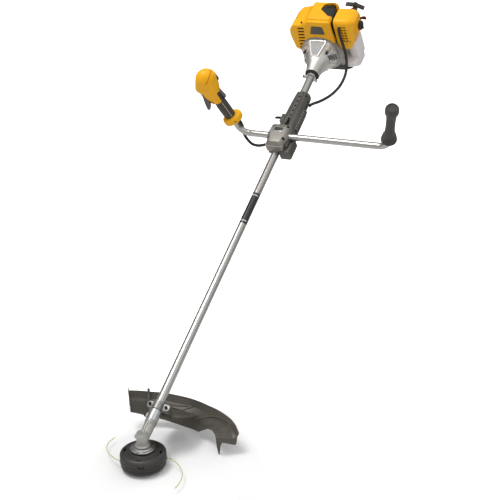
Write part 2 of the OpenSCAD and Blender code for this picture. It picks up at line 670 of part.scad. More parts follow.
module rod_profile() {
    translate([0, 0, throw]) rod_y(8, 9);
    translate([0, 0, pin_h]) rod_y(7, 9);
    block([-3.5, 1, throw + 5], [3.5, 8, pin_h - 4]);
}
module connecting_rod() color(steel) engine(rod_plane - 4.5) {
    difference() {
        rod_profile();
        translate([0, -1, throw]) rod_y(5.5, 12);
        translate([0, -1, pin_h]) rod_y(4, 12);
    }
    translate([0, 4.5 - 17.5, pin_h]) rod_y(4 - fit_gap, 35);
}

module spark_plug() color([0.9, 0.9, 0.88]) on_plug() {
    translate([0, 0, -2]) cylinder(r = 5, h = 19);
    translate([0, 0, 16.05]) cylinder(r = 10, h = 8, $fn = 6);
    translate([0, 0, 24]) cylinder(r = 5, h = 22);
}
module plug_boot() color(black) on_plug() difference() {
    union() {
        translate([0, 0, 26]) cylinder(r = 10, h = 26);
        translate([0, 0, 48]) linear_extrude(7)
            polygon([[-10, -10], [-4, -16], [24, -42], [38, -34], [36, 6], [24, 24], [-6, 12]]);
    }
    translate([0, 0, 20]) cylinder(r = 5.02, h = 26.1);
}

// ============================= engine: exhaust, intake, covers =============================
module muffler() color([0.35, 0.33, 0.31]) engine(rod_plane) {
    difference() {
        hull() {
            block([-84, -30, 28], [-50, 30, 100]);
            block([-88, -24, 34], [-50, 24, 94]);
        }
        block([-80, -26, 34], [-53, 26, 94]);
        translate([-60, 0, 59]) rod_x(8, 30);
        translate([-70, -40, 50]) rod_y(4, 20);
    }
    translate([-50.1, 0, 0]) difference() {
        block([0, -20, 44], [10, 20, 74]);
        translate([-5, 0, 59]) rod_x(8, 30);
    }
}
module carburettor() color(cast) engine(rod_plane) {
    difference() {
        union() {
            block([40.1, -18, 40], [50, 18, 74]);
            block([50, -17, 38], [78, 17, 76]);
            translate([64, 0, 76]) cylinder(r = 9, h = 5);
        }
        translate([30, 0, 57]) rod_x(8, 60);
        translate([64, 0, 70]) cylinder(r = 3, h = 20);
        translate([70, 20, 46]) rotate([90, 0, 0]) cylinder(r = 7, h = 8);
    }
}
lever_at = [64, 0, 81.2];
module throttle_lever() color(steel) engine(rod_plane) translate(lever_at) {
    difference() {
        union() {
            cylinder(r = 5, h = 3);
            block([-3, -14, 0], [3, 0, 3]);
        }
        translate([0, -11, -1]) cylinder(r = 1.2, h = 5);
    }
    translate([0, 0, -10]) cylinder(r = 3 - fit_gap, h = 12);
}
choke_at = [92, 214, 64];
module choke_lever() color([0.5, 0.12, 0.08]) engine(0) translate(choke_at) {
    translate([0, -6, 0]) rod_y(3 - fit_gap, 10);
    slab_y([[-6, -5], [4, -6], [40, 4], [52, 2], [55, 10], [48, 16], [36, 12], [-3, 4.5]], 4);
}
primer_at = [70, 197, 46];
module primer_bulb() color([0.75, 0.72, 0.68]) engine(0) translate(primer_at)
    turned_y([[0, 0.2], [6.5, 0.2], [6.5, 3], [5.5, 7], [3, 9.5], [0, 10]]);

knob_w = 80;
module air_filter() color([0.25, 0.24, 0.22]) engine(0) difference() {
    block([78.2, 132, 22], [104, 203, 111]);
    translate([70, rod_plane, 57]) rod_x(9, 20);
    translate([70, 171, knob_w]) rod_x(4, 60);
}
cover_out = [[120, 6], [208, 6], [212, 20], [212, 112], [198, 131], [132, 138], [122, 130],
    [118, 60]];
cover_in = [[122, 8.5], [206, 8.5], [209.5, 22], [209.5, 111], [196.5, 128.3], [132.5, 135.4],
    [124.5, 128.5], [120.5, 60]];
module fan_room(gap) translate([0, 90, 0]) rod_y(fan_r + gap, 49.5 + gap);
module air_cover() color(yellow) engine(0) difference() {
    intersection() {
        translate([66, 0, 0]) slab_x(cover_out, 74);
        slab_y([[66, 0], [120, 0], [134, 14], [138, 60], [136, 120], [124, 140], [66, 150]], 240);
    }
    intersection() {
        translate([65, 0, 0]) slab_x(cover_in, 74);
        slab_y([[65, 8], [118, 8], [131, 16], [135, 60], [133, 118], [122, 136], [65, 146]], 240);
    }
    translate([120, 171, knob_w]) rod_x(4.2, 40);
    translate([84, 110, 109]) rod_y(5.5, 20);
    for (i = [0:6]) translate([88, 110, 26 + 9 * i]) cube([18, 20, 4]);
    translate([84, 205, 52]) cube([60, 12, 26]);
    fan_room(0.6);
}
module cover_knob() color(black) engine(171) translate([0, 0, knob_w]) {
    translate([138.1, 0, 0]) rod_x(16, 8.4);
    translate([146, -14, -2.5]) cube([5, 28, 5]);
    translate([95, 0, 0]) rod_x(4 - fit_gap, 44);
}

shroud_out = [[-62, 0], [62, 20], [63.5, 130], [58, 146], [-30, 148], [-80, 138], [-98, 112],
    [-102, 84], [-92, 20], [-78, 2]];
shroud_side_out = [[107, -4], [216, -4], [216, 126], [206, 150], [130, 150], [107, 134]];
module shroud_body() intersection() {
    translate([0, 100, 0]) slab_y(shroud_out, 130);
    translate([-130, 0, 0]) slab_x(shroud_side_out, 260);
}
module main_shroud() color(yellow) engine(0) difference() {
    shroud_body();
    translate([-1, 161, 71]) scale(0.955) translate([0, -161, -71]) shroud_body();
    block([-110, 90, -10], [60, 230, 4]);
    block([58, 100, -10], [70, 230, 146]);
    fan_room(0.6);
    block([-74, 110.5, -10], [70, 230, 24]);
    block([8, 130, 120], [70, 208, 180]);
    block([-40, 204, 0], [58, 230, 76]);
    for (i = [0:7]) translate([mix(-65, -76, i / 7), 100, mix(110, 18, i / 7)]) cube([20, 14, 4.5]);
}

// ============================== engine: tank, stand, starter ==============================
cap_at = [-90, 170, -74];
module fuel_tank() color([0.90, 0.89, 0.86, 0.8]) engine(0) difference() {
    union() {
        intersection() {
            translate([-92, 0, 0]) slab_x([[158, -104], [204, -104], [214, -92], [214, -58],
                [206, -50], [120, -50], [112, -58], [112, -66]], 210);
            slab_y([[-90, -60], [-82, -50], [106, -50], [114, -60], [109, -92], [94, -104],
                [-70, -104], [-88, -92]], 260);
        }
        block([82, 150, -56], [111, 212, 3]);
        translate([cap_at.x - 5, cap_at.y, cap_at.z]) rod_x(15, 10);
    }
    difference() {
        union() {
            translate([-86, 0, 0]) slab_x([[160, -100], [208, -100], [208, -55], [122, -55],
                [116, -60], [116, -64]], 190);
            block([86, 154, -60], [107, 208, -1]);
        }
        fan_room(3.4);
    }
    fan_room(0.4);
    translate([cap_at.x - 6, cap_at.y, cap_at.z]) rod_x(12, 20);
}
module fuel_cap() color(black) engine(0) translate(cap_at) {
    difference() {
        translate([-16, 0, 0]) rod_x(19, 15);
        translate([-6, 0, 0]) rod_x(15 + 2 * fit_gap, 10);
    }
    translate([-8, 0, 0]) rod_x(12 - fit_gap, 12);
}
module tank_stand() color(black) engine(0) difference() {
    tank_skid();
    fan_room(0.3);
}
module tank_skid() {
    translate([-14, 0, 0]) slab_x([[103, -52], [109, -58], [109, -70], [156, -107], [210, -107],
        [206, -112], [153, -112], [103, -72]], 92);
}

starter_d = 216.2;
rope_turn = 15;
guide_at = [106, 0, 100];
module starter_housing() color(dark) engine(0) {
    translate([0, starter_d + 21, 0]) rod_y(4, 11);
    starter_casing();
}
module starter_casing() difference() {
    union() {
        translate([0, starter_d, 0]) rod_y(66, 34);
        translate([0, starter_d, 0]) hull() {
            translate([guide_at.x, 0, guide_at.z]) rod_y(8, 20);
            translate([27, 0, 33]) rod_y(20, 20);
        }
    }
    translate([0, starter_d - 1, 0]) rod_y(62, 32);
    translate([0, starter_d + 2, 0]) hull() {
        translate([guide_at.x - 4, 0, guide_at.z - 4]) rod_y(4, 15);
        translate([27, 0, 33]) rod_y(16, 15);
    }
    translate([0, starter_d + 10, 0]) translate([guide_at.x, 0, guide_at.z - 4])
        rotate([0, rope_turn, 0]) cylinder(r = 3, h = 30);
    for (i = [0:11]) rotate([0, i * 30, 0]) block([32, starter_d + 30, -2.5], [54, starter_d + 50, 2.5]);
}
module starter_pulley() color(black) engine(starter_d + 12) difference() {
    turned_y([[0, 16], [0, 6], [10, 6], [10, 0], [34, 0], [34, 3], [22, 4.5], [22, 9], [34, 10.5],
        [34, 14], [8, 14], [8, 16]]);
    for (s = [-1, 1]) translate([s * 24, -1, 0]) rod_y(3, 5);
    translate([0, 8.5, 0]) rod_y(4 + fit_gap, 10);
}
rope_r = 1.8;
pull_r = 110;
pull_arc = 41;
module on_rope() engine(starter_d + 10) translate([guide_at.x, 0, guide_at.z])
    rotate([0, rope_turn, 0]) children();
module starter_rope() color([0.85, 0.85, 0.85]) on_rope()
    translate([0, 0, -2]) cylinder(r = rope_r, h = 13.9);
module starter_handle() color(black) on_rope() {
    translate([0, 0, 12]) cylinder(r1 = 6, r2 = 9, h = 10);
    translate([0, 0, 25 - pull_r]) rotate([90, 0, 0]) rotate([0, 0, 90 - pull_arc / 2])
        rotate_extrude(angle = pull_arc) translate([pull_r - 8, -8]) square([8, 16]);
}

head_base();
head_cover();
trimmer_line();
spool();
bump_knob();
head_spring();
flange_disc();
output_gear();
gear_case();
shaft_bearings();
pinion();
drive_shaft();
shaft_tube();
guard_bracket();
guard();
line_knife();
hip_pad_upper();
hip_pad_lower();
harness_eye();
clamp_body();
clamp_cap();
handlebar();
left_grip();
throttle_shell_front();
throttle_shell_rear();
grip_insert();
trigger();
lockout_lever();
stop_switch();
throttle_cable();
socket_screws();
vibration_ring();
clamp_collar();
clutch_housing();
clutch_drum();
clutch_shoes();
flywheel();
crankshaft();
crankcase();
finned_cylinder();
piston();
connecting_rod();
spark_plug();
plug_boot();
muffler();
carburettor();
throttle_lever();
choke_lever();
primer_bulb();
air_filter();
air_cover();
cover_knob();
main_shroud();
fuel_tank();
fuel_cap();
tank_stand();
starter_housing();
starter_pulley();
starter_rope();
starter_handle();
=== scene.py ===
"""Looks of a petrol string trimmer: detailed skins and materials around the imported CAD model."""
import json
import math

import bmesh
import bpy
from mathutils import Matrix, Vector


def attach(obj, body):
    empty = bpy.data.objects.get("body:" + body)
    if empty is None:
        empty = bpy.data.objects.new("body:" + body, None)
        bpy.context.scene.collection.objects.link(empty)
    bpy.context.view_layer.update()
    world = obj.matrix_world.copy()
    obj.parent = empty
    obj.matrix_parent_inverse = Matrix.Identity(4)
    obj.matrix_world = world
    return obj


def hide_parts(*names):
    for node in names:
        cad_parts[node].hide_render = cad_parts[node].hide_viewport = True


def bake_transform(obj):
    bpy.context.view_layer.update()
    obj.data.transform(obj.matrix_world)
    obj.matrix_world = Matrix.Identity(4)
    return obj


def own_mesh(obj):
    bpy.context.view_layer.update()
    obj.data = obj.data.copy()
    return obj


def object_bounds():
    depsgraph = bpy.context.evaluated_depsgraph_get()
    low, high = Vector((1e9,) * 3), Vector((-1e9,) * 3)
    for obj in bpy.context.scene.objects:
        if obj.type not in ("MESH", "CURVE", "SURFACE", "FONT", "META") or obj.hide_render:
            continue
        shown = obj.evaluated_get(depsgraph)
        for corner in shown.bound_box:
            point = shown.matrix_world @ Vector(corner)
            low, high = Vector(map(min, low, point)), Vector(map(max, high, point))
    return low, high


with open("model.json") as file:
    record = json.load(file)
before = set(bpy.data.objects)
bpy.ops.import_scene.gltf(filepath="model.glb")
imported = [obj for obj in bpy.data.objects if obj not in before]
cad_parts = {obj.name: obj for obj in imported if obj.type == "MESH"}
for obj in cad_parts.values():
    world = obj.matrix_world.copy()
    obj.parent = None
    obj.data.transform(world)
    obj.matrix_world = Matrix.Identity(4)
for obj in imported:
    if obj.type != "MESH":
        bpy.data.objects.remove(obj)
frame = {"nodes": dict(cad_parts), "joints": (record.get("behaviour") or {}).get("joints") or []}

CAD_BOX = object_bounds()
MM = 0.001
X, Y, Z = Vector((1, 0, 0)), Vector((0, 1, 0)), Vector((0, 0, 1))
JOINT = {j["name"]: j for j in frame["joints"]}

# Sizes in millimetres, as in the CAD source
ENGINE_T = 1421
BAR_T = 1110
BAR_RISE = 25
BAR_R = 11
BEND_R = 40
LEAN = math.radians(14)
TUBE_R = 13
APEX_H = 84
STRAIGHT_RIGHT, STRAIGHT_LEFT = 107, 348
UPRIGHT_RIGHT, UPRIGHT_LEFT = 176, 150
THROTTLE_TURN = math.radians(26)
EYELET_TURN = math.radians(30)

# =============================== places ===============================
APEX = Vector(JOINT["drive_spin"]["pos_m"])
UP_SHAFT = Vector(JOINT["drive_spin"]["axis"])
OFF_SHAFT = X.cross(UP_SHAFT)


def placed(origin, right, ahead, up):
    """A place whose own units are millimetres."""
    m = Matrix((right, ahead, up)).transposed().to_4x4()
    m.translation = origin
    return m @ Matrix.Scale(MM, 4)


SHAFT = placed(APEX, X, UP_SHAFT, OFF_SHAFT)
SPINDLE = placed(APEX - Z * APEX_H * MM, X, Y, Z)


def along(t):
    """x as the row's, y up the shaft from the gear apex, z away from its upper side."""
    return SHAFT @ Matrix.Translation((0, t, 0))


def engine(d=0):
    return along(ENGINE_T + d)


def upright(side, straight):
    at = (side * (straight + BEND_R * math.cos(LEAN)), 0, BAR_RISE + BEND_R * (1 - math.sin(LEAN)))
    return along(BAR_T) @ Matrix.Translation(at) @ Matrix.Rotation(side * LEAN, 4, "Y")


GRIP = upright(1, STRAIGHT_LEFT)
THROTTLE = upright(-1, STRAIGHT_RIGHT) @ Matrix.Rotation(THROTTLE_TURN, 4, "Z")

# =============================== camera, light, floor ===============================
LENS_MM = 64.5
AZIMUTH, TILT, ROLL = math.radians(27.876), math.radians(20.0), math.radians(-0.844)


def make_camera():
    ahead = Vector((-math.sin(AZIMUTH) * math.cos(TILT), math.cos(AZIMUTH) * math.cos(TILT),
                    -math.sin(TILT)))
    right = Vector((math.cos(AZIMUTH), math.sin(AZIMUTH), 0))
    up = right.cross(ahead)
    r = right * math.cos(ROLL) + up * math.sin(ROLL)
    u = up * math.cos(ROLL) - right * math.sin(ROLL)
    cam = bpy.data.objects.new("camera", bpy.data.cameras.new("camera"))
    cam.data.lens, cam.data.sensor_width = LENS_MM, 36
    m = Matrix((r, u, -ahead)).transposed().to_4x4()
    m.translation = APEX + Vector((1.2806, -1.7647, 1.4284 - APEX_H * MM))
    cam.matrix_world = m
    bpy.context.scene.collection.objects.link(cam)
    bpy.context.scene.camera = cam


def area_light(name, at, target, size, power):
    light = bpy.data.lights.new(name, "AREA")
    light.shape, light.size, light.energy = "SQUARE", size, power
    ob = bpy.data.objects.new(name, light)
    ob.location = at
    ob.rotation_mode = "QUATERNION"
    ob.rotation_quaternion = (Vector(target) - Vector(at)).to_track_quat("-Z", "Y")
    bpy.context.scene.collection.objects.link(ob)


def dark_card(side, centre):
    """Stands behind the machine, outside the picture, and gives the bright tubes their dark edges."""
    look = AZIMUTH + side * math.radians(40)
    at = centre + Vector((-math.sin(look), math.cos(look), 0)) * 3.1
    across = Vector((math.cos(look), math.sin(look), 0)) * 0.42
    mesh = bpy.data.meshes.new("card")
    mesh.from_pydata([at - across - Z * 1.6, at + across - Z * 1.6,
                      at + across + Z * 2.2, at - across + Z * 2.2], [], [(0, 1, 2, 3)])
    card = bpy.data.objects.new("card", mesh)
    bpy.context.scene.collection.objects.link(card)
    card.data.materials.append(finish("card_black", (0.02, 0.02, 0.02), 0.9, mottle=0.0))
    card.visible_camera = False


def floor_white():
    """Paper that looks white to the camera away from the machine, and lights the machine from below as
    plain paper does. Near the head the camera sees it painted darker: a painted shadow round the head.
    """
    mat = bpy.data.materials.new("floor_white")
    mat.use_nodes = True
    tree = mat.node_tree
    tree.nodes.remove(tree.nodes["Principled BSDF"])
    paper = tree.nodes.new("ShaderNodeBsdfDiffuse")
    seen = tree.nodes.new("ShaderNodeLightPath").outputs["Is Camera Ray"]
    far = node(tree, "ShaderNodeVectorMath")
    far.operation = "DISTANCE"
    far.inputs[1].default_value = SPINDLE.translation + Vector((0.1, 0, 0))
    tree.links.new(tree.nodes.new("ShaderNodeTexCoord").outputs["Object"], far.inputs[0])
    pick = node(tree, "ShaderNodeMix")
    tree.links.new(seen, pick.inputs["Factor"])
    pick.inputs["A"].default_value = 0.75
    # Seen by the camera, the paper is darker the nearer it lies to the head: painted shade round the head.
    tree.links.new(ramp(tree, far.outputs["Value"], 0.25, 0.9, 1.0, 2.3), pick.inputs["B"])
    tree.links.new(pick.outputs["Result"], paper.inputs["Color"])
    tree.links.new(paper.outputs["BSDF"], tree.nodes["Material Output"].inputs["Surface"])
    return mat


def make_stage():
    scene = bpy.context.scene
    scene.view_settings.view_transform = "Standard"
    world = bpy.data.worlds.new("studio")
    world.use_nodes = True
    tree = world.node_tree
    tree.nodes["Background"].inputs["Color"].default_value = (1, 1, 1, 1)
    # A studio bright above and in front, and dark behind the machine, which gives the tubes dark edges
    way = node(tree, "ShaderNodeVectorMath")
    way.operation = "DOT_PRODUCT"
    way.inputs[1].default_value = (-0.5 * math.sin(AZIMUTH), 0.5 * math.cos(AZIMUTH), -1)
    tree.links.new(tree.nodes.new("ShaderNodeTexCoord").outputs["Generated"], way.inputs[0])
    light = ramp(tree, way.outputs["Value"], -1.05, 0.15, 0.85, 0.06)
    seen = tree.nodes.new("ShaderNodeLightPath").outputs["Is Camera Ray"]
    pick = node(tree, "ShaderNodeMix")
    tree.links.new(seen, pick.inputs["Factor"])
    tree.links.new(light, pick.inputs["A"])
    pick.inputs["B"].default_value = 1.02
    tree.links.new(pick.outputs["Result"], tree.nodes["Background"].inputs["Strength"])
    scene.world = world
    lo, hi = CAD_BOX
    centre = (lo + hi) / 2
    area_light("key", centre + Vector((-0.9, -1.1, 2.8)), centre, 1.2, 48)
    area_light("fill", centre + Vector((2.6, -1.4, 1.0)), centre, 2.0, 6)
    area_light("rim", centre + Vector((0.6, 2.4, 1.8)), centre, 1.6, 12)
    mesh = bpy.data.meshes.new("floor")
    s, z = 40, lo.z
    mesh.from_pydata([(-s, -s, z), (s, -s, z), (s, s, z), (-s, s, z)], [], [(0, 1, 2, 3)])
    floor = bpy.data.objects.new("floor", mesh)
    scene.collection.objects.link(floor)
    floor.data.materials.append(floor_white())
    for side in (-1, 1):
        dark_card(side, centre)


# =============================== materials ===============================
def node(tree, kind, **inputs):
    n = tree.nodes.new(kind)
    for key, value in inputs.items():
        n.inputs[key.replace("_", " ")].default_value = value
    return n


def ramp(tree, source, lo, hi, out_lo, out_hi):
    n = tree.nodes.new("ShaderNodeMapRange")
    n.inputs["From Min"].default_value, n.inputs["From Max"].default_value = lo, hi
    n.inputs["To Min"].default_value, n.inputs["To Max"].default_value = out_lo, out_hi
    tree.links.new(source, n.inputs["Value"])
    return n.outputs["Result"]


FINISHES = {}


def finish(name, colour, rough, metal=0.0, coat=0.0, mottle=0.08, grain=900, bump=0.0, bump_size=1500,
           stretch=(1, 1, 1), wear=0.0, see_through=0.0, rough_swing=0.08, sheen=0.0):
    """A plastic, rubber or metal: colour mottled by a slow noise, roughness and bump by a fine one,
    and wear that lightens the sharp edges."""
    if name in FINISHES:
        return FINISHES[name]
    mat = bpy.data.materials.new(name)
    mat.use_nodes = True
    tree = mat.node_tree
    shader = tree.nodes["Principled BSDF"]
    shader.inputs["Metallic"].default_value = metal
    shader.inputs["Coat Weight"].default_value = coat
    shader.inputs["Coat Roughness"].default_value = 0.12
    shader.inputs["Sheen Weight"].default_value = sheen
    place = tree.nodes.new("ShaderNodeTexCoord").outputs["Object"]
    if stretch != (1, 1, 1):
        mapping = node(tree, "ShaderNodeMapping", Scale=stretch)
        tree.links.new(place, mapping.inputs["Vector"])
        place = mapping.outputs["Vector"]
    slow = node(tree, "ShaderNodeTexNoise", Scale=18.0, Detail=4.0)
    fine = node(tree, "ShaderNodeTexNoise", Scale=float(grain), Detail=3.0)
    for n in (slow, fine):
        tree.links.new(place, n.inputs["Vector"])
    mix = tree.nodes.new("ShaderNodeMix")
    mix.data_type = "RGBA"
    mix.inputs["A"].default_value = (*[c * (1 - mottle) for c in colour], 1)
    mix.inputs["B"].default_value = (*[min(1, c * (1 + mottle)) for c in colour], 1)
    tree.links.new(ramp(tree, slow.outputs["Fac"], 0.3, 0.7, 0, 1), mix.inputs["Factor"])
    out = mix.outputs["Result"]
    if wear:
        edge = tree.nodes.new("ShaderNodeMix")
        edge.data_type = "RGBA"
        edge.inputs["B"].default_value = (*[min(1, c * 1.7 + 0.06) for c in colour], 1)
        point = tree.nodes.new("ShaderNodeNewGeometry").outputs["Pointiness"]
        tree.links.new(ramp(tree, point, 0.51, 0.58, 0, wear), edge.inputs["Factor"])
        tree.links.new(out, edge.inputs["A"])
        out = edge.outputs["Result"]
    tree.links.new(out, shader.inputs["Base Color"])
    tree.links.new(ramp(tree, fine.outputs["Fac"], 0.3, 0.7, rough - rough_swing, rough + rough_swing),
                   shader.inputs["Roughness"])
    if bump:
        speck = node(tree, "ShaderNodeTexNoise", Scale=float(bump_size), Detail=2.0)
        tree.links.new(place, speck.inputs["Vector"])
        rise = node(tree, "ShaderNodeBump", Strength=bump, Distance=0.0004)
        tree.links.new(speck.outputs["Fac"], rise.inputs["Height"])
        tree.links.new(rise.outputs["Normal"], shader.inputs["Normal"])
    if see_through:
        shader.inputs["Transmission Weight"].default_value = see_through
        shader.inputs["Subsurface Weight"].default_value = 0.3
        shader.inputs["Subsurface Radius"].default_value = (0.02, 0.02, 0.02)
    FINISHES[name] = mat
    return mat


def look(*args, **more):
    """A finish made when it is first asked for."""
    return lambda: finish(*args, **more)


def yellow():
    mat = finish("yellow_plastic", (0.95, 0.46, 0.006), 0.38, mottle=0.05, bump=0.12, bump_size=1800)
    mat.node_tree.nodes["Principled BSDF"].inputs["Specular IOR Level"].default_value = 0.28
    return mat


dark = look("dark_plastic", (0.075, 0.069, 0.060), 0.48, mottle=0.12, bump=0.35, bump_size=1400, wear=0.35)
black = look("black_plastic", (0.018, 0.017, 0.016), 0.42, mottle=0.15, bump=0.25, bump_size=1600, wear=0.2)
lever_grey = look("lever_grey", (0.105, 0.098, 0.094), 0.45, mottle=0.12, bump=0.35, bump_size=1400,
                  wear=0.3)
pale_line = look("pale_line", (0.74, 0.66, 0.42), 0.4, mottle=0.05)
rubber = look("soft_rubber", (0.050, 0.045, 0.038), 0.62, mottle=0.12, bump=0.5, bump_size=1100, sheen=0.15)
black_rubber = look("black_rubber", (0.016, 0.016, 0.015), 0.55, mottle=0.15, bump=0.3, bump_size=1300)
satin_tube = look("satin_tube", (0.53, 0.52, 0.50), 0.27, metal=1.0, mottle=0.03, grain=500, bump=0.08,
                  bump_size=900, stretch=(1, 0.08, 1))
pale_plate = look("pale_plate", (0.46, 0.46, 0.45), 0.7, metal=0.0, mottle=0.03, bump=0.1)
bracket_steel = look("bracket_steel", (0.25, 0.25, 0.24), 0.42, metal=0.9, mottle=0.1, bump=0.3,
                     bump_size=700, wear=0.3)
cast = look("cast_alloy", (0.62, 0.60, 0.565), 0.40, metal=0.75, mottle=0.07, bump=0.55, bump_size=700,
            wear=0.4)
head_plastic = look("head_plastic", (0.034, 0.031, 0.027), 0.46, mottle=0.15, bump=0.3, bump_size=1500,
                    wear=0.3)
warm_cast = look("warm_cast_alloy", (0.34, 0.335, 0.31), 0.42, metal=0.6, mottle=0.10, bump=0.7,
                 bump_size=600, wear=0.35)
grey_cast = look("grey_cast_alloy", (0.25, 0.235, 0.21), 0.42, metal=0.65, mottle=0.10, bump=0.7,
                 bump_size=650, wear=0.45)
bright = look("bright_steel", (0.56, 0.57, 0.56), 0.24, metal=1.0, mottle=0.05, grain=600, bump=0.1,
              bump_size=800)
black_steel = look("black_steel", (0.02, 0.02, 0.02), 0.32, metal=0.6, mottle=0.15, bump=0.1)
tank_plastic = look("tank_plastic", (0.90, 0.865, 0.85), 0.38, mottle=0.03, bump=0.2, bump_size=700,
                    see_through=0.12)
red_plastic = look("dark_red_plastic", (0.16, 0.018, 0.012), 0.35, mottle=0.08, bump=0.1)
nylon = look("nylon_line", (0.60, 0.68, 0.16), 0.30, mottle=0.08, see_through=0.2)
hot_steel = look("muffler_steel", (0.13, 0.11, 0.095), 0.5, metal=0.7, mottle=0.25, bump=0.4, bump_size=500,
                 wear=0.3)
foam = look("filter_foam", (0.06, 0.055, 0.05), 0.9, mottle=0.2, bump=1.0, bump_size=500)
rope_weave = look("rope_weave", (0.62, 0.61, 0.58), 0.7, mottle=0.2, bump=0.8, bump_size=900)
guard_plastic = look("guard_plastic", (0.088, 0.078, 0.063), 0.44, mottle=0.12, bump=0.3, bump_size=1300,
                     wear=0.3)

# =============================== shapes: (points, faces) in millimetres ===============================
def merged(*shapes):
    points, faces = [], []
    for p, f in shapes:
        n = len(points)
        points += p
        faces += [tuple(i + n for i in face) for face in f]
    return points, faces


def moved(shape, matrix):
    return [tuple(matrix @ Vector(p)) for p in shape[0]], shape[1]


def shifted(shape, *by):
    return moved(shape, Matrix.Translation(by))


def turned(shape, degrees, axis):
    return moved(shape, Matrix.Rotation(math.radians(degrees), 4, axis))


def loft(rings, closed_ends=True):
    """Skin over rings of equally many points."""
    n = len(rings[0])
    points = [tuple(p) for r in rings for p in r]
    faces = [(i * n + k, i * n + (k + 1) % n, (i + 1) * n + (k + 1) % n, (i + 1) * n + k)
             for i in range(len(rings) - 1) for k in range(n)]
    if closed_ends:
        faces += [tuple(range(n - 1, -1, -1)), tuple(range((len(rings) - 1) * n, len(rings) * n))]
    return points, faces


def lathe(profile, steps=72, axis="z"):
    """A closed outline of radius and height, turned about an axis; a radius of 0 is a pole."""
    points, at = [], []
    for r, h in profile:
        at.append(len(points))
        if r < 1e-6:
            points.append((0, 0, h))
        else:
            points += [(r * math.cos(math.tau * k / steps), r * math.sin(math.tau * k / steps), h)
                       for k in range(steps)]
    faces = []
    m = len(profile)
    for i in range(m):
        j = (i + 1) % m
        a, b = profile[i][0] < 1e-6, profile[j][0] < 1e-6
        for k in range(steps):
            k2 = (k + 1) % steps
            if a and b:
                continue
            if a:
                faces.append((at[i], at[j] + k, at[j] + k2))
            elif b:
                faces.append((at[i] + k, at[j], at[i] + k2))
            else:
                faces.append((at[i] + k, at[j] + k, at[j] + k2, at[i] + k2))
    if axis == "y":
        points = [(x, z, -y) for x, y, z in points]
    elif axis == "x":
        points = [(z, y, -x) for x, y, z in points]
    return points, faces


class Outline(list):
    """A flat outline that knows the corners and radii it was drawn from."""


def rounded(corners, radius, steps=5):
    """A flat outline whose corners are arcs; radius is one number, or one for each corner."""
    n = len(corners)
    radii = list(radius) if isinstance(radius, (list, tuple)) else [radius] * n
    out = Outline()
    out.drawn = (corners, radii, steps)
    for i, r in enumerate(radii):
        p, a, b = Vector(corners[i]), Vector(corners[i - 1]), Vector(corners[(i + 1) % n])
        to_a, to_b = (a - p).normalized(), (b - p).normalized()
        half = to_a.angle(to_b) / 2
        if r < 0.01:
            out.append(tuple(p))
            continue
        if half > 1.56:
            out += [tuple(p + to_b * (0.01 * k)) for k in range(steps + 1)]
            continue
        back = min(r / math.tan(half), (a - p).length * 0.49, (b - p).length * 0.49)
        r = back * math.tan(half)
        centre = p + (to_a + to_b).normalized() * (r / math.sin(half))
        start, end = p + to_a * back - centre, p + to_b * back - centre
        turn = start.angle_signed(end)
        for k in range(steps + 1):
            s = -turn * k / steps
            out.append((centre.x + start.x * math.cos(s) - start.y * math.sin(s),
                        centre.y + start.x * math.sin(s) + start.y * math.cos(s)))
    return out


def area_of(outline):
    return sum(a[0] * b[1] - b[0] * a[1] for a, b in zip(outline, outline[1:] + outline[:1])) / 2


def shifted_in(points, by):
    """Each edge of a closed outline moved inwards by the same amount, and the corners where they meet.
    Also says which corners are hollow."""
    n, sign = len(points), 1 if area_of(list(points)) > 0 else -1
    normals = []
    for i in range(n):
        way = (Vector(points[(i + 1) % n]) - Vector(points[i])).normalized()
        normals.append(Vector((-way.y, way.x)) * sign)
    out, hollow = [], []
    for i, p in enumerate(points):
        a, b = normals[i - 1], normals[i]
        out.append(tuple(Vector(p) + (a + b) * (by / max(0.2, 1 + a.dot(b)))))
        hollow.append(sign * (a.x * b.y - a.y * b.x) < 0)
    return out, hollow


def inset(outline, by):
    """The outline moved inwards; its arcs keep their centres as far as they can."""
    if hasattr(outline, "drawn"):
        corners, radii, steps = outline.drawn
        moved_in, hollow = shifted_in(corners, by)
        radii = [r if r < 0.01 else max(0.2, r + by if h else r - by) for r, h in zip(radii, hollow)]
        return rounded(moved_in, radii, steps)
    return shifted_in(outline, by)[0]


def pillow(outline, lo, hi, lo_round=2.0, hi_round=2.0, axis="y", steps=4, taper=0.0):
    """An outline drawn out from lo to hi, with both ends' edges rounded."""
    rows = []
    for k in range(steps + 1):
        a = math.pi / 2 * k / steps
        rows.append((lo_round * (1 - math.sin(a)), lo + lo_round * (1 - math.cos(a))))
    for k in range(steps + 1):
        a = math.pi / 2 * (1 - k / steps)
        rows.append((taper + hi_round * (1 - math.sin(a)), hi - hi_round * (1 - math.cos(a))))
    rings = []
    for by, s in rows:
        flat = inset(outline, by) if by else outline
        if axis == "y":
            rings.append([(u, s, v) for u, v in flat])
        elif axis == "x":
            rings.append([(s, u, v) for u, v in flat])
        else:
            rings.append([(u, v, s) for u, v in flat])
    return loft(rings)


def box(lo, hi, r=1.0, axis="z"):
    """A box with rounded edges."""
    a = {"x": (1, 2, 0), "y": (0, 2, 1), "z": (0, 1, 2)}[axis]
    outline = rounded([(lo[a[0]], lo[a[1]]), (hi[a[0]], lo[a[1]]),
                       (hi[a[0]], hi[a[1]]), (lo[a[0]], hi[a[1]])], r, 4)
    return pillow(outline, lo[a[2]], hi[a[2]], min(r, 1.5), min(r, 1.5), axis, 3)


def disc(r, lo, hi, edge=0.6, axis="z", steps=32):
    return lathe([(0, lo), (r - edge, lo), (r, lo + edge), (r, hi - edge), (r - edge, hi), (0, hi)], steps,
                 axis)


def hex_socket_screw(d, length=6):
    """A socket-head screw, head's top at the origin, pointing down."""
    head = [(0, -0.6 * d), (0.42 * d, -0.6 * d), (0.46 * d, -0.1), (0.8 * d, 0), (0.88 * d, -0.12 * d),
            (0.88 * d, -d), (0.5 * d, -d), (0.5 * d, -length), (0, -length)]
    return lathe(head, 24)


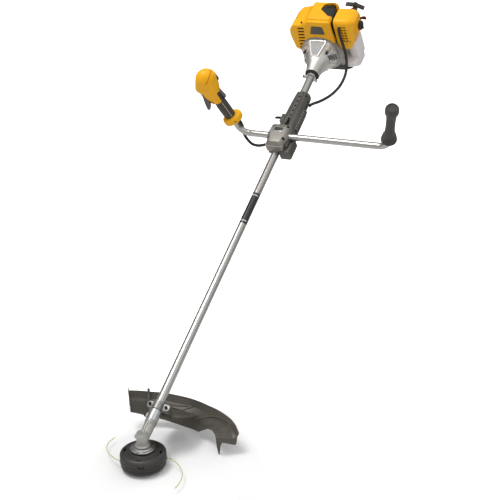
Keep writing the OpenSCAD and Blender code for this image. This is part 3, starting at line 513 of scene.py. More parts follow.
def catmull(points, cuts):
    out = []
    n = len(points)
    for i in range(n - 1):
        a, b, c, d = (Vector(points[max(0, min(n - 1, i + k))]) for k in (-1, 0, 1, 2))
        for j in range(cuts):
            s = j / cuts
            out.append(0.5 * (2 * b + (c - a) * s + (2 * a - 5 * b + 4 * c - d) * s * s
                              + (3 * b - a - 3 * c + d) * s ** 3))
    return out + [Vector(points[-1])]


def tube(points, radius, sides=16, hollow=0.0):
    """A round tube along points; radius may be a function of the distance along it."""
    points = [Vector(p) for p in points]
    rings, up, run = [], None, 0.0
    for i, p in enumerate(points):
        ahead = (points[min(i + 1, len(points) - 1)] - points[max(i - 1, 0)]).normalized()
        if up is None:
            up = ahead.orthogonal().normalized()
        up = (up - ahead * up.dot(ahead)).normalized()
        side = ahead.cross(up)
        if i:
            run += (p - points[i - 1]).length
        r = radius(run) if callable(radius) else radius
        rings.append([p + (up * math.cos(math.tau * k / sides) + side * math.sin(math.tau * k / sides)) * r
                      for k in range(sides)])
    if hollow:
        inner = tube(points, hollow, sides)[0]
        n = sides
        back = [[Vector(inner[i * n + k]) for k in range(n)] for i in range(len(points) - 1, -1, -1)]
        p, f = loft(rings + back, False)
        last = (len(rings) + len(back) - 1) * n
        f += [(last + k, last + (k + 1) % n, (k + 1) % n, k) for k in range(n)]
        return p, f
    return loft(rings)


def resampled(points, step):
    """Points at even steps along a path."""
    out, left = [points[0]], step
    for a, b in zip(points, points[1:]):
        length = (b - a).length
        while left < length:
            out.append(a + (b - a) * (left / length))
            left += step
        left -= length
    return out + [points[-1]]


# =============================== pieces ===============================
def bare_object(name, shape):
    mesh = bpy.data.meshes.new(name)
    mesh.from_pydata([tuple(p) for p in shape[0]], [], shape[1])
    bm = bmesh.new()
    bm.from_mesh(mesh)
    bmesh.ops.remove_doubles(bm, verts=bm.verts, dist=1e-4)
    bmesh.ops.dissolve_degenerate(bm, edges=bm.edges, dist=1e-5)
    bmesh.ops.recalc_face_normals(bm, faces=bm.faces)
    if bm.calc_volume(signed=True) < 0:
        bmesh.ops.reverse_faces(bm, faces=bm.faces)
    bm.to_mesh(mesh)
    bm.free()
    ob = bpy.data.objects.new(name, mesh)
    bpy.context.scene.collection.objects.link(ob)
    return ob


def combined(base, others, operation):
    """The base shape cut by, or joined to, the others."""
    ob = bare_object("work", base)
    tools = []
    for other in others:
        tool = bare_object("tool", other)
        tools.append(tool)
        mod = ob.modifiers.new("step", "BOOLEAN")
        mod.operation, mod.solver, mod.object = operation, "EXACT", tool
    bpy.context.view_layer.update()
    mesh = bpy.data.meshes.new_from_object(ob.evaluated_get(bpy.context.evaluated_depsgraph_get()))
    shape = [tuple(v.co) for v in mesh.vertices], [tuple(f.vertices) for f in mesh.polygons]
    for o in [ob, *tools]:
        bpy.data.objects.remove(o)
    return shape


def cut(base, *tools):
    return combined(base, tools, "DIFFERENCE")


def joined(base, *tools):
    return combined(base, tools, "UNION")


def piece(name, shape, place, body, mat, nodes=(), bevel=0.0, sharp=32):
    """Puts a shape in its place as a finished object that rides on a CAD body."""
    ob = bare_object(name, shape)
    ob.data.transform(place)
    if place.determinant() < 0:
        ob.data.flip_normals()
    ob.data.materials.append(mat)
    bm = bmesh.new()
    bm.from_mesh(ob.data)
    limit = math.radians(sharp)
    for f in bm.faces:
        f.smooth = True
    for e in bm.edges:
        e.smooth = len(e.link_faces) == 2 and e.calc_face_angle(0) < limit
    bm.to_mesh(ob.data)
    bm.free()
    if bevel:
        mod = ob.modifiers.new("edges", "BEVEL")
        mod.width, mod.segments, mod.limit_method = bevel * MM, 2, "ANGLE"
        mod.angle_limit, mod.harden_normals = limit, True
    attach(ob, body)
    if nodes:
        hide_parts(*nodes)
    return ob


# =============================== shaft and handlebar ===============================
def make_tubes():
    shell = tube([(0, 46, 0), (0, ENGINE_T + 30, 0)], TUBE_R, 48, TUBE_R - 2)
    piece("main_tube", shell, along(0), "shaft", satin_tube(), ["shaft_tube"], sharp=40)

    def side_path(side, straight, length):
        bend = [(side * (straight + BEND_R * math.sin(a)), 0, BEND_R * (1 - math.cos(a)))
                for a in [(math.pi / 2 - LEAN) * k / 14 for k in range(15)]]
        reach = Vector((side * math.sin(LEAN), 0, math.cos(LEAN))) * length
        return [Vector(p) for p in bend] + [Vector(bend[-1]) + reach]

    path = (side_path(-1, STRAIGHT_RIGHT, UPRIGHT_RIGHT)[::-1] + side_path(1, STRAIGHT_LEFT, UPRIGHT_LEFT))
    bar = tube(path, BAR_R, 40, BAR_R - 1.5)
    piece("handlebar_tube", bar, along(BAR_T) @ Matrix.Translation((0, 0, BAR_RISE)), "shaft", satin_tube(),
          ["handlebar"], sharp=40)
    # A plain dark band with two pale lines, where such a tube has its sticker
    def wrap(radius, arc, lo, hi):
        a = [math.radians(-arc + 2 * arc * k / 24) for k in range(25)]
        flat = [(radius * math.sin(t), radius * math.cos(t)) for t in a]
        flat += [((TUBE_R + 0.02) * math.sin(t), (TUBE_R + 0.02) * math.cos(t)) for t in reversed(a)]
        return loft([[(u, s, v) for u, v in flat] for s in (lo, hi)])
    piece("shaft_band", wrap(TUBE_R + 0.18, 85, 756, 878), along(0), "shaft",
          finish("sticker_black", (0.018, 0.018, 0.019), 0.25, coat=0.4, mottle=0.05))
    pale = finish("sticker_pale", (0.55, 0.55, 0.54), 0.3, coat=0.3, mottle=0.04)
    piece("shaft_band_lines", merged(wrap(TUBE_R + 0.28, 60, 764, 768), wrap(TUBE_R + 0.28, 60, 866, 870)),
          along(0), "shaft", pale)


def make_left_grip():
    """A waisted grip with a ringed flange at its foot and a capped end."""
    profile = [(11.05, 2), (19.5, 2), (23.6, 3), (25.4, 5.5), (25.6, 9)]
    for k in range(3):
        z, r = 10.5 + 6.6 * k, 24.8 - 1.5 * k
        profile += [(r, z), (r - 2, z + 0.7), (r - 2, z + 1.9), (r, z + 2.6), (r - 0.6, z + 5.6)]
    profile += [(19.4, 32), (17.4, 38), (16.0, 46), (15.0, 58), (14.6, 74), (14.7, 92), (15.2, 108),
                (16.4, 122), (17.6, 128), (17.0, 129), (17.0, 130.6), (19.8, 131.4), (21.2, 134),
                (21.4, 140), (21.4, 148), (20.6, 153), (18.6, 156.6), (16.4, 158.4), (14.8, 158.2),
                (13.6, 155.4), (0, 154.6), (0, 150.2), (11.05, 150.2)]
    dents = [turned(box((13.9, -1.0, 50), (20, 1.0, 116), 0.7), 360 * k / 12, "Z") for k in range(12)]
    piece("plain_grip", cut(lathe(profile, 64), *dents), GRIP, "shaft", rubber(), ["left_grip"],
          sharp=28)


# =============================== throttle handle ===============================
GRIP_FROM = 54
HEAD_Z = 218
LEAF_Z = 126
SWITCH = (33, -7, 199)


def egg(z, front, back, half, power=2.3, steps=48):
    """A ring round the handle: front towards the fingers, back towards the palm."""
    ring = []
    for k in range(steps):
        c, s = math.cos(math.tau * k / steps), math.sin(math.tau * k / steps)
        reach = back if c > 0 else front
        ring.append((reach * math.copysign(abs(c) ** (2 / power), c),
                     half * math.copysign(abs(s) ** (2 / power), s), z))
    return ring


def hull(points):
    """The tight skin round a cloud of points."""
    bm = bmesh.new()
    for p in points:
        bm.verts.new(p)
    made = bmesh.ops.convex_hull(bm, input=bm.verts)
    inside = {v for v in made["geom_interior"] + made["geom_unused"] if isinstance(v, bmesh.types.BMVert)}
    for v in inside:
        bm.verts.remove(v)
    bmesh.ops.recalc_face_normals(bm, faces=bm.faces)
    bm.verts.index_update()
    out = [tuple(v.co) for v in bm.verts], [tuple(v.index for v in f.verts) for f in bm.faces]
    bm.free()
    return out


def ball(centre, r, flat=1.0, steps=56):
    """Points spread over a ball that may be flattened front to back."""
    out = []
    for j in range(steps // 2 + 1):
        polar = math.pi * j / (steps // 2)
        for i in range(steps):
            a = math.tau * i / steps
            out.append((centre[0] + r * math.sin(polar) * math.cos(a),
                        centre[1] + r * math.sin(polar) * math.sin(a) * flat,
                        centre[2] + r * math.cos(polar)))
    return out


def throttle_head(less=0.0):
    neck = [((19.5 - less) * math.cos(math.tau * i / 64), (19.5 - less) * math.sin(math.tau * i / 64), z)
            for i in range(64) for z in (146 + less, 150)]
    return hull(neck + ball((8, 0, HEAD_Z), 36 - less, 0.82) + ball((-23, 0, 198), 21 - less, 0.85)
                + ball((9, 0, 187), 20 - less))


def make_throttle():
    slot_tool = box((-60, -7.6, 110), (-13, 7.6, 196), 1.0)
    lock_slot = box((12, -7, 124), (42, 7, 175), 1.0)
    switch_slot = box((30, -8, SWITCH[2] - 0.5), (60, 8, SWITCH[2] + 17.5), 0.6)
    bore = disc(BAR_R + 0.1, 100, 176.2, 0.05, steps=40)
    crease = shifted(turned(box((-6, -60, -1.9), (60, 60, 1.9), 0.05), -34, "Y"), 9, 0, 221)
    crease = cut(crease, throttle_head(5.0))
    seam = cut(box((-80, -0.3, 176.5), (80, 0.3, 260), 0.05), throttle_head(1.6))
    shell = cut(throttle_head(), slot_tool, lock_slot, switch_slot, bore, palm_cut(), crease, seam)
    leaf = cut(disc(20.3, LEAF_Z, 156, 1.2, steps=72), bore, disc(17.1, 100, 170, 0.05, steps=64),
               palm_cut(), slot_tool)
    flanges = [pillow(rounded([(-34, 168), (-14, 168), (-14, 112), (-24, 112), (-34, 124)],
                              [1, 1, 3, 5, 8]), 7.6, 11, 0.4, 1.6, "y"),
               pillow(rounded([(-32, 170), (-14, 170), (-14, 138), (-21, 138), (-27, 150)],
                              [1, 1, 3, 5, 8]), -11, -7.6, 1.6, 0.4, "y")]
    flanges = [cut(f, disc(17.1, 100, 180, 0.05, steps=64)) for f in flanges]
    piece("throttle_hood", merged(shell, leaf, *flanges), THROTTLE, "shaft", yellow(),
          ["throttle_shell_front", "throttle_shell_rear"], bevel=0.5, sharp=38)
    collar = [(30, 27, 31, 26), (31, 29.5, 34, 28.5), (34, 31, 36.5, 30), (46, 31, 36.5, 30),
              (50, 29.5, 35, 28.5), (53.6, 25, 29, 24.5)]
    ring = cut(loft([egg(*row, power=2.1) for row in collar]), disc(BAR_R + 0.1, 20, 60, 0.05, steps=40))
    piece("throttle_collar", ring, THROTTLE, "shaft", yellow(), bevel=0.4)
    at = Matrix.Translation((9, -29.4, 41)) @ Matrix.Rotation(math.radians(90), 4, "X")
    piece("collar_screw", moved(hex_socket_screw(4.4, 6), at), THROTTLE, "shaft", black_steel())
    make_grip_insert(slot_tool, lock_slot)
    make_levers()


def palm_cut(gap=0.0):
    """What the shell's leaf leaves to the soft insert: everything on the palm side of its straight edge."""
    return pillow(rounded([(12.6 - gap, 164), (60, 164), (60, 90), (10.6 - gap, 90), (10.6 - gap, 128)],
                          [0, 0, 0, 0, 4]),
                  -60, 60, 0.05, 0.05, "y")


def make_grip_insert(slot_tool, lock_slot):
    """A soft sleeve with fine ribs, and a bright line up its front."""
    rows = []
    n = 96
    for k in range(31):
        z = GRIP_FROM + 0.2 + (162.8 - GRIP_FROM) * k / 30
        swell = 0.7 * math.sin(math.pi * min(1, k / 24))
        around = [18.9 + swell + 0.25 * math.cos(24 * math.tau * i / n) for i in range(n)]
        rows.append([(r * math.cos(math.tau * i / n), r * math.sin(math.tau * i / n), z)
                     for i, r in enumerate(around)])
    leaf_room = cut(box((-60, -60, LEAF_Z - 0.2), (12.2, 60, 200), 0.3), palm_cut(-0.3))
    sleeve = cut(loft(rows), disc(17.0, 40, 180, 0.05, steps=48), lock_slot, slot_tool, leaf_room,
                 box((-36, -11.2, 111.5), (-10, 11.2, 200), 0.3))
    piece("grip_sleeve", sleeve, THROTTLE, "shaft", rubber(), ["grip_insert"], sharp=40)
    core = cut(disc(16.9, GRIP_FROM - 6, 165, 0.1, steps=48), disc(BAR_R + 0.1, 20, 180, 0.05, steps=40),
               lock_slot, slot_tool)
    piece("grip_core", core, THROTTLE, "shaft", black())
    across = math.radians(-62)
    line = [(19.9 * math.cos(across), 19.9 * math.sin(across), z) for z in (57, 75, 100, 124)]
    piece("grip_line", tube(line, 0.8, 8), THROTTLE, "shaft", pale_line())


def make_levers():
    lever = rounded([(-30, 189), (-25, 184), (-25, 150), (-33.5, 121), (-42, 111), (-47, 110), (-51, 115),
                     (-46, 140), (-38, 168), (-38, 186)], [2, 2, 12, 6, 3, 2.5, 3, 12, 12, 3])
    hollow = rounded([(-35, 170), (-30, 150), (-37, 124), (-45, 120), (-42, 142)], 3)
    face = cut(pillow(lever, -7, 7, 2.0, 2.0, "y"), pillow(hollow, -8, -6, 0.3, 0.3, "y"),
               pillow(hollow, 6, 8, 0.3, 0.3, "y"))
    piece("trigger_lever", face, THROTTLE, "trigger", lever_grey(), ["trigger"], bevel=0.3)
    pad = rounded([(17.5, 168), (19.5, 134), (23, 127), (27.5, 127), (29, 131), (26, 158), (24.5, 169)],
                  [2, 4, 2, 2, 2, 8, 2])
    ribs = [box((26, -7, 133 + 5 * k), (40, 7, 134.4 + 5 * k), 0.3) for k in range(4)]
    piece("lockout_pad", cut(pillow(pad, -6, 6, 1.6, 1.6, "y"), *ribs), THROTTLE, "lockout", lever_grey(),
          ["lockout_lever"])
    x, y, z = SWITCH
    button = cut(box((x, y, z), (x + 10, y + 14, z + 13), 1.4, "x"),
                 *[box((x + 9, -8, z + 2.4 + 2.6 * k), (x + 12, 8, z + 3.6 + 2.6 * k), 0.2)
                   for k in range(4)])
    piece("stop_button", button, THROTTLE, "stop_switch", black(), ["stop_switch"])


# =============================== throttle cable ===============================
HANDLE_RUN = [(-149, 1131, 70), (-145, 1130, 36), (-146, 1122, 4), (-135, 1115, -19), (-118, 1108, -30),
              (-92, 1100, -25), (-66, 1090, -8), (-45.2, 1086, 4)]
ENGINE_RUN = [(84, 1546, 111), (84, 1538, 107), (87, 1529, 87), (93, 1522, 52), (99, 1511, 20),
              (103, 1494, -8), (104, 1470, -28), (102, 1440, -37), (97, 1400, -36), (88, 1350, -22),
              (68, 1310, -10), (52, 1284, 2), (46.5, 1268, 8)]


def make_cable():
    def ribbed(run):
        return 5.1 - 0.35 * (0.5 - 0.5 * math.cos(math.tau * run / 3.2)) ** 2
    runs = [tube(resampled(catmull(run, 8), 0.8), ribbed, 14) for run in (HANDLE_RUN, ENGINE_RUN)]
    piece("cable_sheath", merged(*runs), along(0), "shaft", black_rubber(), ["throttle_cable"],
          sharp=60)


# =============================== handlebar clamp, hip pad ===============================
CLAMP_BOLTS = [(-28, -26, 38), (28, -26, 38), (-28, 24, 45), (28, 24, 45)]


def make_clamp():
    def shield(spread, lo, hi, r):
        return rounded([(-30 - spread, hi), (30 + spread, hi), (33 + spread, -4), (24 + spread, lo),
                        (-20 - spread, lo), (-33 - spread, -4)], [r, r, 14, r, r, 14], 6)
    rows = [(shield(6, -50, 38, 10), BAR_RISE + 0.6), (shield(6, -52, 38, 10), 34),
            (shield(4, -50, 36, 10), 40), (shield(0, -46, 33, 10), 46), (shield(-3, -43, 30, 9), 48.4),
            (shield(-6, -40, 27, 8), 49.2)]
    cap = loft([[(u, v, w) for u, v in flat] for flat, w in rows])
    lip = pillow(rounded([(-30, -54), (30, -54), (34, -40.5), (-34, -40.5)], 4), 8, 34, 1.5, 1.5, "z")
    cap = joined(cap, lip)
    bar_hole = tube([(-100, 0, BAR_RISE), (100, 0, BAR_RISE)], BAR_R + 0.15, 40)
    recess = pillow(rounded([(-23, 24), (21, 24), (17, 4), (10, -1), (-19, -1)], [3, 3, 3, 4, 3]), 46.6, 60,
                    0.4, 0.4, "z")
    sockets = [disc(5, top - 5, 70, 0.1, steps=24) for _, _, top in CLAMP_BOLTS]
    sockets = [shifted(s, b[0], b[1], 0) for s, b in zip(sockets, CLAMP_BOLTS)]
    notches = [box((x - 2.2, 31, 44), (x + 2.2, 44, 60), 1.2) for x in (-12, 0, 12)]
    cap = cut(cap, bar_hole, recess, *sockets, *notches)
    piece("clamp_shield", cap, along(BAR_T), "shaft", grey_cast(), ["clamp_cap"], bevel=0.7,
          sharp=30)
    plate = pillow(rounded([(-20, 21), (18, 21), (14.5, 5), (9, 1.5), (-16.5, 1.5)], [2, 2, 2, 3, 2]), 45.9,
                   47.4, 0.2, 0.5, "z")
    piece("clamp_badge", plate, along(BAR_T), "shaft", bright())
    face = pillow(rounded([(-17.5, 18.8), (15.8, 18.8), (12.8, 6.2), (8, 3.7), (-14.6, 3.7)],
                          [1.5, 1.5, 1.5, 2, 1.5]),
                  47.0, 48.0, 0.1, 0.2, "z")
    piece("clamp_badge_face", face, along(BAR_T), "shaft", black())
    body = box((-38, -40, -22), (40, 36, BAR_RISE - 0.3), 4)
    side = box((10, -57, -25), (51, 10, 13), 7)
    lug = box((-44, -34, -6), (-36, -14, 14), 2)
    shape = joined(body, side, lug)
    ribs = [box((48, -50 + 9 * k, -30), (70, -47 + 9 * k, 20), 0.8) for k in range(7)]
    under = [box((8, -50 + 9 * k, -40), (66, -47 + 9 * k, -22.5), 0.8) for k in range(7)]
    shape = cut(shape, tube([(0, -90, 0), (0, 90, 0)], TUBE_R + 0.1, 40), bar_hole, *ribs, *under)
    piece("clamp_base", shape, along(BAR_T), "shaft", dark(), ["clamp_body"], bevel=0.8,
          sharp=30)


PAD_FROM, PAD_TO = 1152, 1322


def make_pad():
    length = PAD_TO - PAD_FROM

    def ring(s, scale):
        """The pad's outline at s from 0, by the clamp, to 1: a ridged back, sloping flanks."""
        w = (33 - 6 * s) * scale
        h = (29 - 5 * s) * scale
        mid = 4 + 2 * s
        half = [(0.10, 1.0), (0.22, 1.0), (0.30, 0.88), (0.44, 0.86), (0.52, 0.93), (0.66, 0.88),
                (0.92, 0.48), (1.0, 0.30), (1.0, -0.30), (0.94, -0.5), (0.62, -0.86), (0.30, -0.98),
                (0.10, -1.0)]
        pts = [(mid + u * w, v * h) for u, v in half] + [(mid - u * w, v * h) for u, v in reversed(half)]
        return [(u, PAD_FROM + s * length, v) for u, v in pts]
    steps = [0.0, 0.02, 0.06, 0.5, 0.9, 0.96, 0.99]
    scales = [0.9, 0.97, 1.0, 1.0, 1.0, 0.97, 0.88]
    shape = loft([ring(s, k) for s, k in zip(steps, scales)])
    bore = tube([(0, PAD_FROM - 20, 0), (0, PAD_TO + 20, 0)], TUBE_R + 0.1, 40)
    holes = [shifted(turned(box((-3.4, -3.4, 0), (3.4, 3.4, 60), 0.6), 45, "Z"),
                     6, PAD_FROM + 52 + 22 * k, 20) for k in range(5)]
    wedge = pillow(rounded([(-2, PAD_FROM - 10), (20, PAD_FROM - 10), (8, PAD_FROM + 42),
                            (3, PAD_FROM + 42)], 2), 14, 60, 0.5, 0.5, "z")
    flank_cuts = [box((24, PAD_FROM + 18 + 16 * k, -9), (60, PAD_FROM + 26 + 16 * k, 9), 2)
                  for k in range(8)]
    left_cuts = [box((-60, PAD_FROM + 34 + 16 * k, -9), (-18, PAD_FROM + 42 + 16 * k, 9), 2)
                 for k in range(7)]
    seam = box((-80, PAD_FROM - 20, -0.5), (80, PAD_TO + 20, 0.5), 0.1)
    shape = cut(shape, bore, wedge, *holes, *flank_cuts, *left_cuts, seam)
    piece("pad_shell", shape, along(0), "shaft", dark(), ["hip_pad_upper", "hip_pad_lower"],
          bevel=0.8, sharp=30)
    wing = rounded([(28, -20), (35, -22), (46, 2), (43, 12), (35, 15), (31, 8)], [2, 5, 4, 4, 3, 2])
    wing = pillow(wing, PAD_FROM + 2, PAD_FROM + 96, 5, 5, "y")
    ribs = [box((38, PAD_FROM + 12 + 12 * k, -30), (60, PAD_FROM + 15 + 12 * k, 30), 0.8) for k in range(7)]
    wing = cut(wing, *ribs, tube([(34, PAD_FROM + 104, 4), (46.5, PAD_FROM + 116, 8),
                                  (46.6, PAD_FROM + 80, 8)], 4.3))
    piece("pad_flank", wing, along(0), "shaft", dark(), bevel=0.6, sharp=30)
    step = box((-33, PAD_FROM + 30, -13), (-22, PAD_FROM + 66, 16), 4)
    piece("pad_step", step, along(0), "shaft", dark())
    eye = pillow(rounded([(-10, -7), (-4, -10), (6, -10), (22, -8), (22, 8), (6, 10), (-4, 10), (-10, 7)],
                         5), -2.5, 2.5, 0.8, 0.8, "z")
    eye = cut(eye, disc(6, -5, 5, 0.05, steps=40))
    piece("eye_plate", eye, placed(Vector((0, 0, 0)), X, Y, Z), "shaft", black_steel(), ["harness_eye"])


# =============================== trimmer head and gear case ===============================
WHIP = [(61, 0, 24), (68, 0, 24), (76, -3, 24), (90, -20, 24), (102, -40, 23), (109, -64, 22),
        (110, -88, 20), (104, -112, 18), (93, -132, 16)]


def radial(shape, count, start=0.0):
    return [turned(shape, start + 360 * k / count, "Z") for k in range(count)]


def make_head():
    cover = lathe([(5.05, 43), (9.5, 43), (9.5, 52), (36, 52), (38, 50.3), (56, 48.8), (62, 43), (62, 32.6),
                   (64.2, 32.6), (65, 33.2), (65, 37.5), (64.2, 38.2), (64.2, 41), (65, 41.8), (65, 45.5),
                   (63.8, 48), (61, 50.6), (58, 52.2), (55.5, 53), (54.5, 52.2), (53.2, 50.9), (42, 52.2),
                   (40.6, 53.6), (39.6, 55.4), (38, 56), (5.05, 56)], 96)
    windows = radial(box((48.5, -7, 40), (54, 7, 60), 1.5), 4, 20)
    sides = radial(box((58, -8.5, 34.6), (70, 8.5, 40.4), 1.2, "x"), 4, -62)
    flutes = radial(box((64.1, -2.4, 43.4), (70, 2.4, 60), 0.6), 24, 5)
    piece("head_top", cut(cover, *windows, *sides, *flutes), SPINDLE, "head", head_plastic(),
          ["head_cover"], bevel=0.35, sharp=30)
    base = lathe([(31, 5), (50, 5), (58, 7), (62.6, 11), (64, 14), (64, 19.4), (63.2, 20), (63.2, 21.6),
                  (65, 22.6), (65, 31.4), (64.4, 32.1), (62, 32.1), (62, 16), (57, 11), (50, 8.5),
                  (31, 8.5)], 96)
    eyelets = [turned(shifted(turned(disc(4.2, 0, 16, 0.05), 90, "Y"), 57, 0, 24), 30 + 180 * k, "Z")
               for k in range(2)]
    grips = radial(box((64.2, -3, 10), (70, 3, 18.6), 0.6), 20, 0)
    slots = radial(box((36, -2.5, 0), (50, 2.5, 20), 1.0), 12, 10)
    piece("head_bottom", cut(base, *eyelets, *grips, *slots), SPINDLE, "head", black(), ["head_base"],
          bevel=0.35, sharp=30)
    ring = lathe([(1.7, -3.2), (3.6, -3.2), (4.1, -2.4), (4.1, 2.6), (5.6, 3.2), (5.6, 4.2), (4.6, 4.8),
                  (2.6, 4.6), (1.7, 3.4)], 32)
    rings = [turned(shifted(turned(ring, 90, "Y"), 62, 0, 24), 30 + 180 * k, "Z") for k in range(2)]
    piece("line_eyelets", merged(*rings), SPINDLE, "head", bright())
    knob = lathe([(0, 0), (14, 0), (20, 0.6), (25, 2.2), (28, 4.6), (29, 7), (29, 10), (27.5, 11.2),
                  (24, 12.4), (9, 12.4), (9, 37), (0, 37)], 64)
    dishes = radial(box((20, -3, -3), (34, 3, 3.4), 1.4), 8)
    piece("tap_knob", cut(knob, *dishes), SPINDLE, "knob", black(), ["bump_knob"],
          bevel=0.4)
    coil = [(13.5 * math.cos(math.tau * k / 24), 13.5 * math.sin(math.tau * k / 24), 32.2 + 18.3 * k / 120)
            for k in range(121)]
    spring = piece("spring_coil", tube(coil, 0.9, 10), SPINDLE, "head", bright(), ["head_spring"])
    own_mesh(spring)
    hub = lathe([(9.06, 13), (53, 13), (54, 13.6), (54, 14.8), (24, 15.2), (24, 28.8), (54, 29.2),
                 (54, 30.4), (53, 31), (9.06, 31)], 72)
    piece("spool_hub", hub, SPINDLE, "spool", dark(), ["spool"])
    wound = [((27 + 2.4 * (k // 480) + 0.02 * (k % 7)) * math.cos(math.tau * k / 72),
              (27 + 2.4 * (k // 480)) * math.sin(math.tau * k / 72),
              16.6 + 10.6 * abs(((k / 480) % 2) - 1)) for k in range(0, 2400, 3)]
    piece("wound_line", tube(wound, 1.2, 6), SPINDLE, "spool", nylon())
    dish = lathe([(5.05, 56.1), (29, 56.1), (32, 57.4), (34.4, 59), (35.5, 60.6), (35.5, 63.2),
                  (34.6, 64.4), (31.5, 65.2), (28.5, 65.4), (27.4, 66.4), (26.6, 67.6), (24, 68.1),
                  (5.05, 68.1)], 96)
    notch = radial(box((33.6, -3, 58), (40, 3, 70), 0.6), 3, 40)
    piece("flange_plate", cut(dish, *notch), SPINDLE, "head", bright(), ["flange_disc"],
          bevel=0.3)


def make_lines():
    for k in range(2):
        turn = Matrix.Rotation(EYELET_TURN + math.pi * k, 4, "Z")
        points = [SPINDLE @ (turn @ p) for p in catmull(WHIP, 5)]
        curve = bpy.data.curves.new(f"line_whip_{k}", "CURVE")
        curve.dimensions, curve.bevel_depth, curve.bevel_resolution = "3D", 1.2 * MM, 3
        curve.use_fill_caps = True
        spline = curve.splines.new("POLY")
        spline.points.add(len(points) - 1)
        for p, q in zip(spline.points, points):
            p.co = (*q, 1)
        ob = bpy.data.objects.new(f"line_whip_{k}", curve)
        bpy.context.scene.collection.objects.link(ob)
        curve.materials.append(nylon())
        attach(ob, "head")
        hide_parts("trimmer_line")


def make_gear_case():
    head = lathe([(0, 68.5), (19.5, 68.5), (21, 69.6), (21, 71.6), (19.4, 73.6), (17.6, 76), (17.0, 80),
                  (16.8, 100), (16.4, 104), (15.2, 105.2), (15.2, 109.6), (14.4, 110.8), (12.6, 110.8),
                  (12.0, 109.8), (0, 109.8)],
                 72)
    neck = lathe([(0, 0), (15.4, 0), (15.6, 44), (16.6, 50), (17.2, 56), (17.2, 84), (16.4, 88), (0, 88)],
                 64, "y")
    to_spindle = SPINDLE.inverted() @ along(0)
    lug = box((-8, 60, -22), (8, 80, -10), 2.5)
    ear = box((-23, 66, -6), (-10, 80, 6), 2.5)
    rib = box((-2, 10, 8), (2, 56, 19), 1.2)
    plug = shifted(turned(lathe([(0, 0), (6.4, 0), (6.4, 21), (5.2, 22.4), (3.4, 22.4), (3.0, 20.8),
                                 (0, 20.8)], 28),
                          -90, "Y"), 0, 0, 94)
    arm = joined(neck, lug, ear, rib)
    shape = joined(head, moved(arm, to_spindle), plug)
    hollow = [lathe([(0, 60), (12.05, 60), (12.05, 76.5), (15, 76.5), (15, 106), (0, 106)], 48),
              moved(tube([(0, 6, 0), (0, 100, 0)], 13.05, 40), to_spindle)]
    slot = moved(box((-30, 71.6, -0.9), (-9, 90, 0.9), 0.2), to_spindle)
    piece("gear_housing", cut(shape, *hollow, slot), SPINDLE, "shaft", warm_cast(), ["gear_case"],
          bevel=0.6, sharp=34)


def make_bracket():
    band = cut(tube([(0, 0, 0), (0, 24, 0)], 17, 48), tube([(0, -2, 0), (0, 30, 0)], TUBE_R + 0.1, 48),
               box((-40, -5, -30), (40, 40, -3), 0.1))
    ears = [pillow(rounded([(s * 12, 2), (s * 37, 2), (s * 37, 22), (s * 12, 22)], [1, 9, 9, 1]), -3, 1.6,
                   0.6, 0.6, "z") for s in (-1, 1)]
    shape = joined(band, *ears)
    shape = cut(shape, tube([(0, -2, 0), (0, 30, 0)], TUBE_R + 0.1, 48),
                *[shifted(disc(3.1, -10, 10, 0.05), s * 27, 12, 0) for s in (-1, 1)])
    piece("guard_clamp", shape, along(96), "shaft", bracket_steel(), ["guard_bracket"],
          bevel=0.5)
    sleeve = cut(tube([(0, 62, 0), (0, 92, 0)], 17.6, 48), tube([(0, 60, 0), (0, 99, 0)], 17.25, 48))
    piece("case_band", sleeve, along(0), "shaft", bright(), bevel=0.1)


# =============================== guard ===============================
# Bearing about the spindle, then radius and height of the inner face from the foot up to the rim
SKIRT = [(134, (207, 61), (212, 76), (219, 92), (224, 99), (228, 118)),
         (118, (207, 39), (212, 62), (219, 82), (226, 88), (234, 104)),
         (98, (207, 24), (212, 50), (214, 70), (230, 78), (240, 95)),
         (88, (207, 20), (211, 42), (216, 66), (234, 76), (243, 92)),
         (73, (207, 22), (214, 40), (230, 58), (240, 72), (247, 88)),
         (60, (207, 54), (226, 56), (242, 66), (248, 76), (254, 88)),
         (50, (208, 66), (230, 64), (250, 68), (256, 76), (262, 86)),
         (44, (208, 66), (232, 62), (254, 62), (261, 68), (267, 80)),
         (40, (208, 62), (232, 58), (256, 54), (265, 56), (271, 66))]


def skirt_at(bearing):
    i = next((k for k in range(1, len(SKIRT)) if SKIRT[k][0] <= bearing), len(SKIRT) - 1)
    a, b = SKIRT[i - 1], SKIRT[i]
    s = max(0, min(1, (a[0] - bearing) / (a[0] - b[0])))
    return [Vector(p).lerp(Vector(q), s) for p, q in zip(a[1:], b[1:])]


def on_bearing(p, bearing):
    return (p[0] * math.cos(math.radians(bearing)), p[0] * math.sin(math.radians(bearing)), p[1])


def skirt_rib(path, r=3.4, steps=7):
    """A rib in the skirt's inner face: each stop is a bearing and a share of the way up the profile."""
    spots = []
    for (b0, t0), (b1, t1) in zip(path, path[1:]):
        for k in range(steps):
            b, t = b0 + (b1 - b0) * k / steps, t0 + (t1 - t0) * k / steps
            low = skirt_at(b)
            i = min(int(t), 3)
            spots.append(on_bearing(low[i].lerp(low[i + 1], t - i), b))
    return tube(spots, r, 6)


